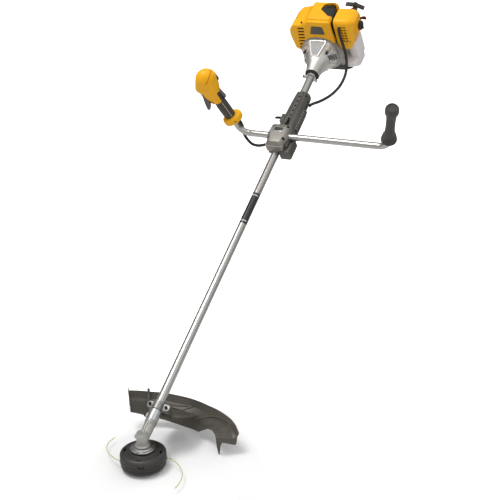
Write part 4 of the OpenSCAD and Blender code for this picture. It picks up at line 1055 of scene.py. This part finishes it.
def make_guard():
    rings = []
    for bearing in range(134, 39, -1):
        inner = skirt_at(bearing)
        lip = [inner[-1] + Vector((0.4, 2.2)), inner[-1] + Vector((3.6, 2.4))]
        outer = [p + Vector((2.4, 0 if p is inner[0] else -2.4)) for p in reversed(inner)]
        rings.append([on_bearing(p, bearing) for p in inner + lip + outer])
    shell = loft(rings)

    def blade(bearing, flat, thick=3.0, r=1.2):
        leaf = pillow(rounded(flat, r), -thick / 2, thick / 2, 0.5, 0.5, "y")
        return turned(leaf, bearing, "Z")
    tip = blade(43, [(208, 66), (211, 26), (215.5, 1), (219, 1), (222, 28), (230, 44), (237, 61)], 3.4, 0.8)
    end_wall = blade(40.4, [(208.5, 62), (214, 50), (226, 43), (262, 30), (266, 34), (271, 66), (265, 56),
                            (256, 54), (232, 58)], 2.6, 0.8)
    fin = blade(119, [(208, 38), (203, 44), (202, 62), (208, 82), (214, 92), (224, 104), (231, 120),
                      (234, 120), (236, 104), (228, 88), (220, 80), (213, 60)], 7, 0.8)
    pin = blade(134, [(206, 60), (210, 58), (229, 118), (230, 132), (227, 132)], 2.4, 0.8)
    bead = tube([on_bearing((208.2, skirt_at(b)[0][1] - 0.4), b) for b in range(134, 39, -1)], 2.0, 8)
    plate = pillow(rounded([(-42, 92), (56, 92), (62, 160), (56, 222), (-42, 222), (-48, 160)],
                           [6, 6, 20, 4, 4, 20]),
                   -2.0, 2.0, 0.8, 0.8, "z")
    slope = Matrix.Rotation(math.atan2(66 - 120, 216 - 104), 4, "X")
    lean = Matrix.Translation((0, 98, 119)) @ slope @ Matrix.Translation((0, -98, 0))
    plate = moved(plate, lean)
    ribs = [moved(box((x - 1.3, 92, -9), (x + 1.3, 206, 1), 0.8), lean) for x in (-34, -14, 8, 28, 46)]
    to_spindle = SPINDLE.inverted() @ along(96)
    foot = moved(box((-36, 2, -24), (36, 22, -3.4), 3), to_spindle)
    bores = [moved(shifted(disc(2.6, -60, 10, 0.05), s * 27, 12, 0), to_spindle) for s in (-1, 1)]
    tube_room = moved(tube([(0, -60, 0), (0, 80, 0)], TUBE_R + 0.2, 40), to_spindle)
    case_room = moved(tube([(0, -60, 0), (0, -1, 0)], 18, 40), to_spindle)
    steps = [skirt_rib([(88, 0.1), (77, 1.7), (66, 2.6), (56, 3.2), (46, 3.4)]),
             skirt_rib([(112, 2.05), (98, 2.5), (84, 3.1)]), skirt_rib([(84.5, 3.1), (91, 2), (98, 0.4)])]
    shape = merged(shell, tip, end_wall, fin, pin, bead, *steps,
                   cut(joined(plate, foot), tube_room, case_room, *bores), *ribs)
    piece("guard_shell", shape, SPINDLE, "shaft", guard_plastic(), ["guard"], bevel=0.4,
          sharp=11)


# =============================== engine: collar, clutch housing, crankcase ===============================
def make_collar():
    band = joined(tube([(0, -16, 0), (0, 8, 0)], 18.3, 48), box((-26, -15, -6), (-14, -6.1, 6), 2),
                  box((8, -15, -24), (17, -6.1, -12), 2.5))
    band = cut(band, tube([(0, -20, 0), (0, 20, 0)], TUBE_R + 0.1, 40),
               box((-40, -20, -0.7), (-12, 20, 0.7), 0.1),
               tube([(-40, -10.6, 0), (-10, -10.6, 0)], 2.7, 16))
    piece("shaft_collar", band, engine(), "shaft", bright(), ["clamp_collar"], bevel=0.5)
    ring = lathe([(18.6, -6), (22.8, -6), (24.2, -4.6), (24.2, -1.4), (23.2, -0.4), (24.2, 0.6), (24.4, 8),
                  (18.6, 8)], 56, "y")
    notches = [turned(box((22.6, -8, -2), (28, -2, 2), 0.8), 360 * k / 14, "Y") for k in range(14)]
    piece("rubber_mount", cut(ring, *notches), engine(), "shaft", black_rubber(), ["vibration_ring"],
          bevel=0.2)


HOUSING = [(0, 25.4, 25.4, 2.0), (0.6, 26.4, 26.4, 2.0), (2, 27, 27, 2.0), (13, 27, 27.4, 2.0),
           (16, 27.6, 28.4, 2.05), (30, 30.5, 31.5, 2.1), (55, 42, 40, 2.35), (84, 56, 55.5, 2.7),
           (90, 60.5, 61, 2.8), (94, 62, 64, 2.8), (104.2, 62, 67, 2.8), (105, 61.2, 66.2, 2.8)]


def housing_ring(d, r, high, power, steps=72):
    ring = []
    for k in range(steps):
        c, s = math.cos(math.tau * k / steps), math.sin(math.tau * k / steps)
        p = power if s > 0 else 2.0
        ring.append((r * math.copysign(abs(c) ** (2 / p), c), d,
                     (high if s > 0 else r) * math.copysign(abs(s) ** (2 / p), s)))
    return ring


def on_slope(origin, ahead):
    """A flat drawing board leaning on the housing: x as the engine's, y up the slope, z off its face."""
    ahead = Vector(ahead).normalized()
    m = Matrix((X, ahead, X.cross(ahead))).transposed().to_4x4()
    m.translation = origin
    return m


def make_clutch_housing():
    shell = loft([housing_ring(*row) for row in HOUSING])
    slope = on_slope((0, 55, 38.5), (0, 49, 28))
    pad = moved(pillow(rounded([(-17, -4), (14, -4), (39, 55), (-32, 55)], [5, 5, 6, 6]), -12, 4.2, 1, 1.6,
                       "z"), slope)
    bosses = [tube([(s * 42, 72, 42), (s * 42, 104, 42)], 9.5, 28) for s in (-1, 1)]
    ridge = [box((s * 50 - 2, 60, -10), (s * 50 + 2, 104, 12), 1.5) for s in (-1, 1)]
    ribs = [turned(box((45, 78, -2), (61, 104, 2), 1), a, "Y") for a in (28, 52, 76, 104, 128, 152, 8, 172)]
    shape = joined(shell, pad, *bosses, *ridge, *ribs)
    recess = moved(pillow(rounded([(-13, 2), (10.5, 2), (33, 51), (-26, 51)], [4, 4, 4, 4]),
                          2.6, 12, 0.4, 0.4, "z"), slope)
    hollow = lathe([(0, -2), (24.7, -2), (24.7, 10), (17.6, 10), (17.6, 50), (40, 54), (41, 56), (57, 98),
                    (58, 107), (0, 107)], 56, "y")
    sinks = [tube([(s * 42, 40, 42), (s * 42, 72.5, 42)], 5.6, 24) for s in (-1, 1)]
    grooves = [moved(box((-6, -15.5, -8), (40, -9, 14), 1),
                     Matrix.Translation((36, 80 + 7.5 * k, 8 - 8 * k))
                     @ Matrix.Rotation(math.radians(-35), 4, "Y")) for k in range(4)]
    shape = cut(shape, recess, hollow, *sinks, *grooves)
    piece("clutch_cover", shape, engine(), "shaft", cast(), ["clutch_housing"], bevel=0.25,
          sharp=34)
    plate = moved(pillow(rounded([(-12, 3), (9.5, 3), (31.5, 50), (-24.5, 50)], [3, 3, 3, 3]), 2.4, 3.3,
                         0.1, 0.1, "z"), slope)
    piece("clutch_plate", plate, engine(), "shaft", pale_plate())


def make_fan_ring():
    ring = lathe([(43, 105.2), (70, 105.2), (73.6, 106), (75.4, 108), (76, 110.5), (76, 120), (75.2, 120.8),
                  (75.2, 124.2), (76, 125), (76, 138.6), (75.4, 139.1), (62, 139.1), (62, 109), (43, 109)],
                 96, "y")
    ribs = [turned(box((60, 103.6, -1.4), (74, 107, 1.4), 0.6), 15 * k, "Y") for k in range(24)]
    piece("fan_ring", joined(ring, *ribs), engine(), "shaft", warm_cast(), bevel=0.4)


# =============================== engine: shroud and air cover ===============================
SHROUD = [(-62, 0), (62, 20), (63.5, 130), (58, 145), (-26, 145), (-44, 131), (-80, 124), (-100, 104),
          (-102, 80), (-92, 20), (-78, 2)]
FAN_R = 76
PLUG_PLACE = Matrix.Translation((4, 177, 96)) @ Matrix.Rotation(math.radians(22), 4, "Y")
KNOB_D, KNOB_W = 171, 80


def fan_room(gap):
    return disc(FAN_R + gap, 90, 139.5 + gap, 0.05, "y", 96)


def shroud_skin(shrink=0.0, lo=107, hi=216):
    """The shroud: a rounded face at the front, a raised back and a crowned top."""
    flat = rounded(SHROUD, [10, 8, 9, 9, 14, 14, 18, 16, 20, 16, 12], 5)
    rows = [(8, lo), (4.4, lo + 0.6), (1.8, lo + 2.6), (0.5, lo + 6), (0, lo + 12), (0, hi - 34),
            (1.2, hi - 18), (4, hi - 8), (8, hi - 2.5), (13, hi)]
    rings = []
    for by, d in rows:
        by = by + shrink
        rings.append([(u, d, v) for u, v in inset(flat, by)] if by else [(u, d, v) for u, v in flat])
    return loft(rings)


def make_shroud():
    outer = shroud_skin()
    hump = pillow(rounded([(-34, 110), (62.5, 110), (62.5, 140), (56, 150.5), (-26, 152)], [2, 2, 9, 9, 9]),
                  116, 206, 6, 10, "y")
    brow = pillow(rounded([(-34, 126), (60, 124), (61, 136), (55, 145.5), (-26, 146)], [4, 4, 6, 9, 9]),
                  105.2, 130, 3.4, 2, "y")
    cheek = pillow(rounded([(-96, 24), (-86, 14), (-72, 16), (-58, 108), (-64, 128), (-84, 128), (-99, 106),
                            (-102.5, 82)], [8, 8, 8, 10, 10, 14, 12, 20]), 105.6, 140, 4, 2, "y")
    shape = joined(outer, hump, brow, cheek)
    inner = shroud_skin(3.0, 110, 213)
    slots = [shifted(pillow(rounded([(0, 0), (24, 0), (24, 8), (0, 8)], 1.4), 98, 122, 0.2, 0.2, "y"),
                     -67 - 2 * k, 0, 109 - 14.4 * k) for k in range(7)]
    badge = pillow(rounded([(-25, 88.5), (33, 88.5), (29, 124), (-12, 126)], [4, 4, 5, 5]), 96, 107.4, 0.3,
                   0.3, "y")
    hole = disc(3.4, 95, 118, 0.05, "y", 20)
    hole = shifted(hole, -46, 0, 138)
    notch = moved(pillow(inset(rounded(WING, WING_ROUND, 6), -3.5), 16, 90, 0.3, 0.3, "z"), PLUG_PLACE)
    under = box((-74, 110.5, -20), (70, 230, 24), 0.2)
    right = box((59.5, 100, -20), (80, 240, 143), 0.2)
    rear = box((-40, 204, 0), (58, 240, 76), 2)
    rear_slots = [box((-86 + 9 * k, 205, 88), (-82 + 9 * k, 240, 128), 1) for k in range(6)]
    shape = cut(shape, inner, fan_room(0.6), *slots, badge, hole, notch, under, right, rear, *rear_slots)
    piece("engine_shroud", shape, engine(), "shaft", yellow(), ["main_shroud"], bevel=0.8,
          sharp=34)
    plate = pillow(rounded([(-23.4, 89.8), (31.6, 89.8), (27.8, 122.8), (-11.2, 124.6)], [3, 3, 4, 4]),
                   105.6, 108.6, 0.5, 0.2, "y")
    # A black sheet just inside the front wall, behind its slots: painted shade that makes the slots read
    # dark.
    slot_shade_sheet = pillow(rounded([(-90, 18), (-44, 18), (-36, 120), (-78, 120)], 4), 110.6, 113, 0.3, 0.3, "y")
    piece("shroud_slot_shade", slot_shade_sheet, engine(), "shaft", black())
    piece("shroud_badge", plate, engine(), "shaft", dark(), bevel=0.2)
    screw = moved(hex_socket_screw(3.4, 6), Matrix.Translation((-46, 108.4, 138))
                  @ Matrix.Rotation(math.radians(90), 4, "X"))
    piece("shroud_screw", screw, engine(), "shaft", black_steel())


COVER = [(119, 6), (211, 6), (212, 112), (192, 134), (120, 138)]


def cover_skin(shrink=0.0, lo=66, hi=138):
    flat = rounded(COVER, [15, 15, 20, 22, 16], 6)
    rows = [(0, lo), (0, 112), (0.8, 118), (4.5, 126), (10, hi - 6.5), (14, hi - 2.2), (18, hi)]

    def leaning(x, w):
        return 66 + (x - 66) * (1 - 0.0034 * max(0, 110 - w)) if x > 66 else x
    return loft([[(leaning(s, v), u, v) for u, v in inset(flat, by + shrink)] for by, s in rows])


def make_air_cover():
    outer = cover_skin()
    inner = cover_skin(2.6, 60, 135.4)
    vents = [shifted(box((x, 108, 0), (x + 9.5, 130, 6.6), 1.0), 0, 0, 48 + 12 * k) for k in range(6)
             for x in (86, 98)]
    boss = shifted(disc(23, 116, 137.6, 3, "x", 48), 0, KNOB_D, KNOB_W)
    sides = [shifted(box((84, 204, 0), (106, 230, 4.2), 1.0), 0, 0, 86 + 9 * k) for k in range(4)]
    dish = shifted(lathe([(0, 0), (19, 0), (21, 3), (21, 20), (0, 20)], 48, "x"), 136.2, KNOB_D, KNOB_W)
    shape = cut(joined(outer, boss), inner, fan_room(0.6), *vents, *sides, dish,
                shifted(disc(4.2, 0, 60, 0.05, "x", 24), 110, KNOB_D, KNOB_W),
                shifted(disc(5.5, 100, 140, 0.05, "y", 24), 84, 0, 109),
                box((84, 205, 52), (144, 240, 78), 1.5))
    piece("filter_cover", shape, engine(), "shaft", yellow(), ["air_cover"], bevel=0.7,
          sharp=34)
    # A black sheet just inside the front wall, behind the vents: painted shade that makes the vents read
    # dark.
    piece("filter_vent_shade", box((82, 122.4, 40), (112, 124.6, 120), 1), engine(), "shaft", black())
    knob = lathe([(0, 138.1), (14.6, 138.1), (16, 139), (16, 145), (14.8, 146.5), (0, 146.5)], 48)
    grips = [turned(box((14.9, -1.5, 130), (20, 1.5, 150), 0.5), 20 * k, "Z") for k in range(18)]
    knob = cut(knob, *grips)
    bar = box((-14, -2.6, 145.8), (14, 2.6, 151), 1.2)
    turn = turned(joined(knob, bar), 90, "Y")
    stem = disc(3.9, 95, 139, 0.3, "x", 24)
    piece("filter_knob", merged(turn, stem),
          engine(KNOB_D) @ Matrix.Translation((0, 0, KNOB_W)), "cover_knob", black(), ["cover_knob"],
          bevel=0.3)


# =============================== engine: plug, tank, stand, starter ===============================
WING = [(-10, -10), (-4, -16), (24, -42), (38, -34), (36, 6), (24, 24), (-6, 12)]
WING_ROUND = [4, 5, 7, 8, 12, 10, 8]


def on_plug():
    return engine() @ PLUG_PLACE


def make_plug():
    ceramic = finish("plug_ceramic", (0.80, 0.79, 0.76), 0.15, coat=0.6, mottle=0.02)
    insulator = lathe([(0, 24), (5, 24), (5, 30), (4.6, 30.6), (4.6, 31.6), (5, 32), (5, 34), (4.6, 34.6),
                       (4.6, 35.6), (4.9, 36.2), (4.6, 44), (2.4, 46), (0, 46)], 28)
    body = lathe([(0, -2), (5, -2), (5, 16), (8.6, 16.1), (9.9, 17), (9.9, 23), (8.6, 24), (0, 24)], 6)
    thread = lathe([(0, -2)] + [(4.4 + 0.55 * (k % 2), -1.6 + 0.85 * k) for k in range(20)] + [(0, 15.8)],
                   24)
    piece("plug_insulator", insulator, on_plug(), "shaft", ceramic, ["spark_plug"])
    piece("plug_hex", merged(body, thread), on_plug(), "shaft", bright(), bevel=0.3)
    cap = lathe([(5.1, 26), (8.6, 26), (9.6, 27), (9.6, 29), (8.8, 30), (8.8, 31.4), (9.8, 32.4),
                 (10, 51.6), (0, 51.8), (0, 46.2), (5.1, 46.2)], 36)
    flat = rounded(WING, WING_ROUND, 6)
    wing = pillow(flat, 48, 55, 1.6, 2.6, "z")
    ridge = pillow(inset(flat, 7), 54, 57, 0.4, 1.4, "z")
    hollow = pillow(inset(flat, 10), 55.2, 60, 0.2, 0.2, "z")
    piece("plug_cap", joined(cap, cut(joined(wing, ridge), hollow)), on_plug(), "shaft", black_rubber(),
          ["plug_boot"], bevel=0.4)


def tank_skin():
    flat = rounded([(158, -104), (214, -104), (214, -50), (92.6, -50)], [13, 16, 14, 13], 7)
    rows = [(-92, 9), (-91, 5.6), (-88.4, 2.6), (-84, 0.8), (-78, 0), (94, 0), (102, 1), (108, 3.6),
            (112, 8), (114, 13)]
    return loft([[(x, u, v) for u, v in inset(flat, by)] for x, by in rows])


def make_tank():
    lobe = box((80, 150, -60), (120, 212, 20), 12)
    neck = shifted(disc(15, -5, 5, 0.4, "x", 40), -90, 170, -74)
    threads = [shifted(lathe([(14.2, -3.4 + 2.6 * k), (15, -2.8 + 2.6 * k), (15, -2.2 + 2.6 * k),
                              (14.2, -1.6 + 2.6 * k)], 40, "x"), -90, 170, -74) for k in range(3)]
    shape = joined(tank_skin(), lobe, neck)
    shape = cut(shape, fan_room(0.4), shifted(disc(12, -8, 14, 0.05, "x", 36), -90, 170, -74))
    piece("tank_shell", merged(shape, *threads), engine(), "shaft", tank_plastic(), ["fuel_tank"],
          bevel=1.2, sharp=34)
    rail = tube([(-80, 214.2, -77), (104, 214.2, -77)], 0.7, 8)
    front = tube([(-80, 125, -76.6), (94, 125, -76.6)], 0.7, 8)
    piece("tank_seam", merged(rail, front), engine(), "shaft", tank_plastic())
    lid = lathe([(0, -16), (17.4, -16), (19, -14.6), (19, -1), (15.2, -1), (15.2, -6), (0, -6)], 48)
    lid_grips = [turned(box((18.1, -1.3, -20), (22, 1.3, 2), 0.4), 15 * k, "Z") for k in range(24)]
    lid = turned(cut(lid, *lid_grips), 90, "Y")
    plug = disc(11.9, -7, 4, 0.4, "x", 36)
    tab = box((-18, -12, -2), (-15, 12, 2), 1)
    piece("tank_lid", merged(joined(lid, tab), plug), engine(170) @ Matrix.Translation((-90, 0, -74)),
          "fuel_cap", black(), ["fuel_cap"], bevel=0.3)


def make_stand():
    side = rounded([(103, -52), (109, -57), (109, -70), (156, -107), (210, -107), (206, -112), (153, -112),
                    (103, -72)], [1, 2, 3, 4, 1, 1, 6, 5])
    shape = pillow(side, -14, 78, 1.4, 1.4, "x")
    legs = [box((x, 102.6, -72), (x + 5, 109.6, -50), 1.2) for x in (-14, 30, 73)]
    shape = joined(shape, *legs)
    holes = [box((-6 + 28 * k, 118, -120), (12 + 28 * k, 142, -60), 3, "z") for k in range(3)]
    grooves = [box((-20, 158 + 10 * k, -116), (90, 162 + 10 * k, -110.8), 0.6) for k in range(4)]
    piece("tank_skid", cut(shape, fan_room(0.3), *holes, *grooves), engine(), "shaft", black(),
          ["tank_stand"], bevel=0.6)


STARTER_D = 216.2


ROPE_GUIDE, ARM_ROOT = (106, 100), (27, 33)
ROPE_LEAN = Matrix.Rotation(math.radians(15), 4, "Y")


def rope_place():
    return engine(STARTER_D + 10) @ Matrix.Translation((ROPE_GUIDE[0], 0, ROPE_GUIDE[1])) @ ROPE_LEAN


def make_starter():
    case = lathe([(0, 0), (66, 0), (66, 27), (64.6, 30.6), (61, 33), (50, 34), (24, 34), (22, 32.6),
                  (0, 32.6)], 96, "y")
    arm = loft([[(x, d, z) for x, z in ring] for d, ring in
                [(0, arm_outline(0)), (17, arm_outline(0)), (19.4, arm_outline(1.2)),
                 (20, arm_outline(2.6))]])
    hole = disc(62, -1, 30.6, 0.05, "y", 72)
    channel = loft([[(x, d, z) for x, z in arm_outline(4)] for d in (2, 17)])
    slots = [turned(box((30, 30, -2.4), (56, 50, 2.4), 1.6, "y"), 30 * k, "Y") for k in range(12)]
    ring = [turned(box((58, 31.5, -5), (62.4, 50, 5), 1.2, "y"), 30 * k + 15, "Y") for k in range(12)]
    eye = moved(disc(3.4, -4, 30, 0.05, "z", 24),
                Matrix.Translation((ROPE_GUIDE[0], 10, ROPE_GUIDE[1] - 4)) @ ROPE_LEAN)
    post = disc(4, 21, 32, 0.3, "y", 24)
    lugs = [turned(box((60, 0, -7), (70, 12, 7), 3), a, "Y") for a in (40, 140, 220)]
    shape = cut(joined(case, arm, *lugs), hole, channel, *slots, *ring, eye)
    piece("starter_case", merged(shape, post), engine(STARTER_D), "shaft", dark(), ["starter_housing"],
          bevel=0.5)
    bolts = [moved(hex_socket_screw(4, 8), Matrix.Rotation(math.radians(a), 4, "Y")
                   @ Matrix.Translation((66, 13.6, 0)) @ Matrix.Rotation(math.radians(-90), 4, "X"))
             for a in (40, 140, 220)]
    piece("starter_screws", merged(*bolts), engine(STARTER_D), "shaft", black_steel())
    arc = [(98 * math.sin(math.radians(a)), 98 * math.cos(math.radians(a))) for a in range(-19, 20, 2)]
    ring = [(u, v - 85) for u, v in [(106 * x / 98, 106 * z / 98) for x, z in arc]]
    ring += [(x, z - 85) for x, z in reversed(arc)]
    bar = pillow(rounded(ring, [4] + [0] * (len(arc) - 2) + [4, 4] + [0] * (len(arc) - 2) + [4]),
                 -8, 8, 3, 3, "y")
    stem = lathe([(0, 12), (5.6, 12), (6.4, 13), (8.6, 21), (9.6, 26), (0, 27)], 28)
    rib = box((-1, -9, 19), (1, 9, 30), 0.5)
    grip = joined(shifted(bar, 0, 0, 4), stem, rib)
    piece("pull_grip", grip, rope_place(), "pull_handle", black(), ["starter_handle"],
          bevel=0.5)


def arm_outline(shrink):
    """Hull of the starter's hub end and its rope guide, in x and w."""
    a, b = Vector(ARM_ROOT), Vector(ROPE_GUIDE)
    ra, rb = 20 - shrink, 8 - shrink
    way = b - a
    base = math.atan2(way.y, way.x)
    swing = math.acos((ra - rb) / way.length)
    ring = [(b.x + rb * math.cos(base + t), b.y + rb * math.sin(base + t))
            for t in [-swing + 2 * swing * k / 14 for k in range(15)]]
    ring += [(a.x + ra * math.cos(base + t), a.y + ra * math.sin(base + t))
             for t in [swing + (math.tau - 2 * swing) * k / 14 for k in range(15)]]
    return ring


def make_rope():
    place = rope_place()
    rings = [(0, 0, -14 + 26 * k / 60) for k in range(61)]

    def braided(run):
        return 1.8 + 0.12 * math.sin(math.tau * run / 1.7)
    ob = bare_object("pull_rope", tube(rings, braided, 12))
    ob.data.transform(place)
    ob.data.materials.append(rope_weave())
    ob.data.shade_smooth()
    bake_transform(ob)
    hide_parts("starter_rope")
    coil = [((25.5 + 0.25 * k / 24) * math.cos(math.tau * k / 24), 6.7 + 1.3 * math.sin(math.tau * k / 96),
             (25.5 + 0.25 * k / 24) * math.sin(math.tau * k / 24)) for k in range(24 * 16)]
    piece("rope_coil", tube(coil, 1.1, 8), engine(STARTER_D + 12), "pulley", rope_weave())


# =============================== screws, knife and inner parts ===============================
def make_screws():
    """The screws of the CAD's one screw node, each where it is there."""
    shapes = []
    facing = {"+w": Matrix.Identity(4), "-x": Matrix.Rotation(math.radians(-90), 4, "Y"),
              "-t": Matrix.Rotation(math.radians(90), 4, "X")}
    spots = [(x, BAR_T + t, w, "+w", 40) for x, t, w in CLAMP_BOLTS]
    spots += [(s * 27, 108, 6.6, "+w", 26) for s in (-1, 1)]
    spots += [(-29, 73, 0, "-x", 12), (-31.1, ENGINE_T - 10.6, 0, "-x", 14)]
    spots += [(s * 42, ENGINE_T + 62, 42, "-t", 20) for s in (-1, 1)]
    spots += [(24, PAD_FROM + t, 22, "+w", 30) for t in (20, 150)]
    for x, t, w, way, length in spots:
        shapes.append(moved(hex_socket_screw(5, length), Matrix.Translation((x, t, w)) @ facing[way]))
    piece("black_screws", merged(*shapes), along(0), "shaft", black_steel(), ["socket_screws"],
          sharp=30)


def dress(mat, *names, bevel=0.4):
    """A CAD node keeps its own mesh, and gets a finish and softened edges."""
    for name in names:
        ob = frame["nodes"][name]
        ob.data.materials.clear()
        ob.data.materials.append(mat)
        for f in ob.data.polygons:
            f.material_index = 0
        weld = ob.modifiers.new("weld", "WELD")
        weld.merge_threshold = 1e-5
        if bevel:
            mod = ob.modifiers.new("edges", "BEVEL")
            mod.width, mod.segments = bevel * MM, 2
            mod.limit_method, mod.angle_limit = "ANGLE", math.radians(35)


def dress_inner():
    steel = finish("ground_steel", (0.62, 0.62, 0.62), 0.26, metal=1.0, mottle=0.06, bump=0.15,
                   bump_size=900)
    dress(steel, "output_gear", "pinion", "crankshaft", "connecting_rod", "piston", "throttle_lever",
          bevel=0.15)
    dress(steel, "shaft_bearings", "drive_shaft", bevel=0.2)
    dress(finish("cutter_steel", (0.55, 0.56, 0.57), 0.2, metal=1.0, mottle=0.05, bump=0.2,
                 stretch=(1, 0.1, 1)),
          "line_knife", bevel=0.2)
    dress(finish("drum_steel", (0.30, 0.27, 0.24), 0.4, metal=0.9, mottle=0.2, bump=0.2), "clutch_drum")
    dress(cast(), "clutch_shoes", "flywheel", "carburettor", bevel=0.5)
    dress(grey_cast(), "finned_cylinder", bevel=0.5)
    dress(warm_cast(), "crankcase", bevel=0.8)
    dress(hot_steel(), "muffler", bevel=2.0)
    dress(red_plastic(), "choke_lever", bevel=0.8)
    dress(finish("primer_rubber", (0.62, 0.56, 0.50), 0.25, mottle=0.05, see_through=0.3, coat=0.3),
          "primer_bulb")
    dress(foam(), "air_filter", bevel=1.5)
    dress(black(), "starter_pulley")


# =============================== all of it ===============================
make_camera()
make_stage()
make_tubes()
make_left_grip()
make_throttle()
make_cable()
make_clamp()
make_pad()
make_head()
make_lines()
make_gear_case()
make_bracket()
make_guard()
make_collar()
make_clutch_housing()
make_fan_ring()
make_shroud()
make_air_cover()
make_plug()
make_tank()
make_stand()
make_starter()
make_rope()
make_screws()
dress_inner()
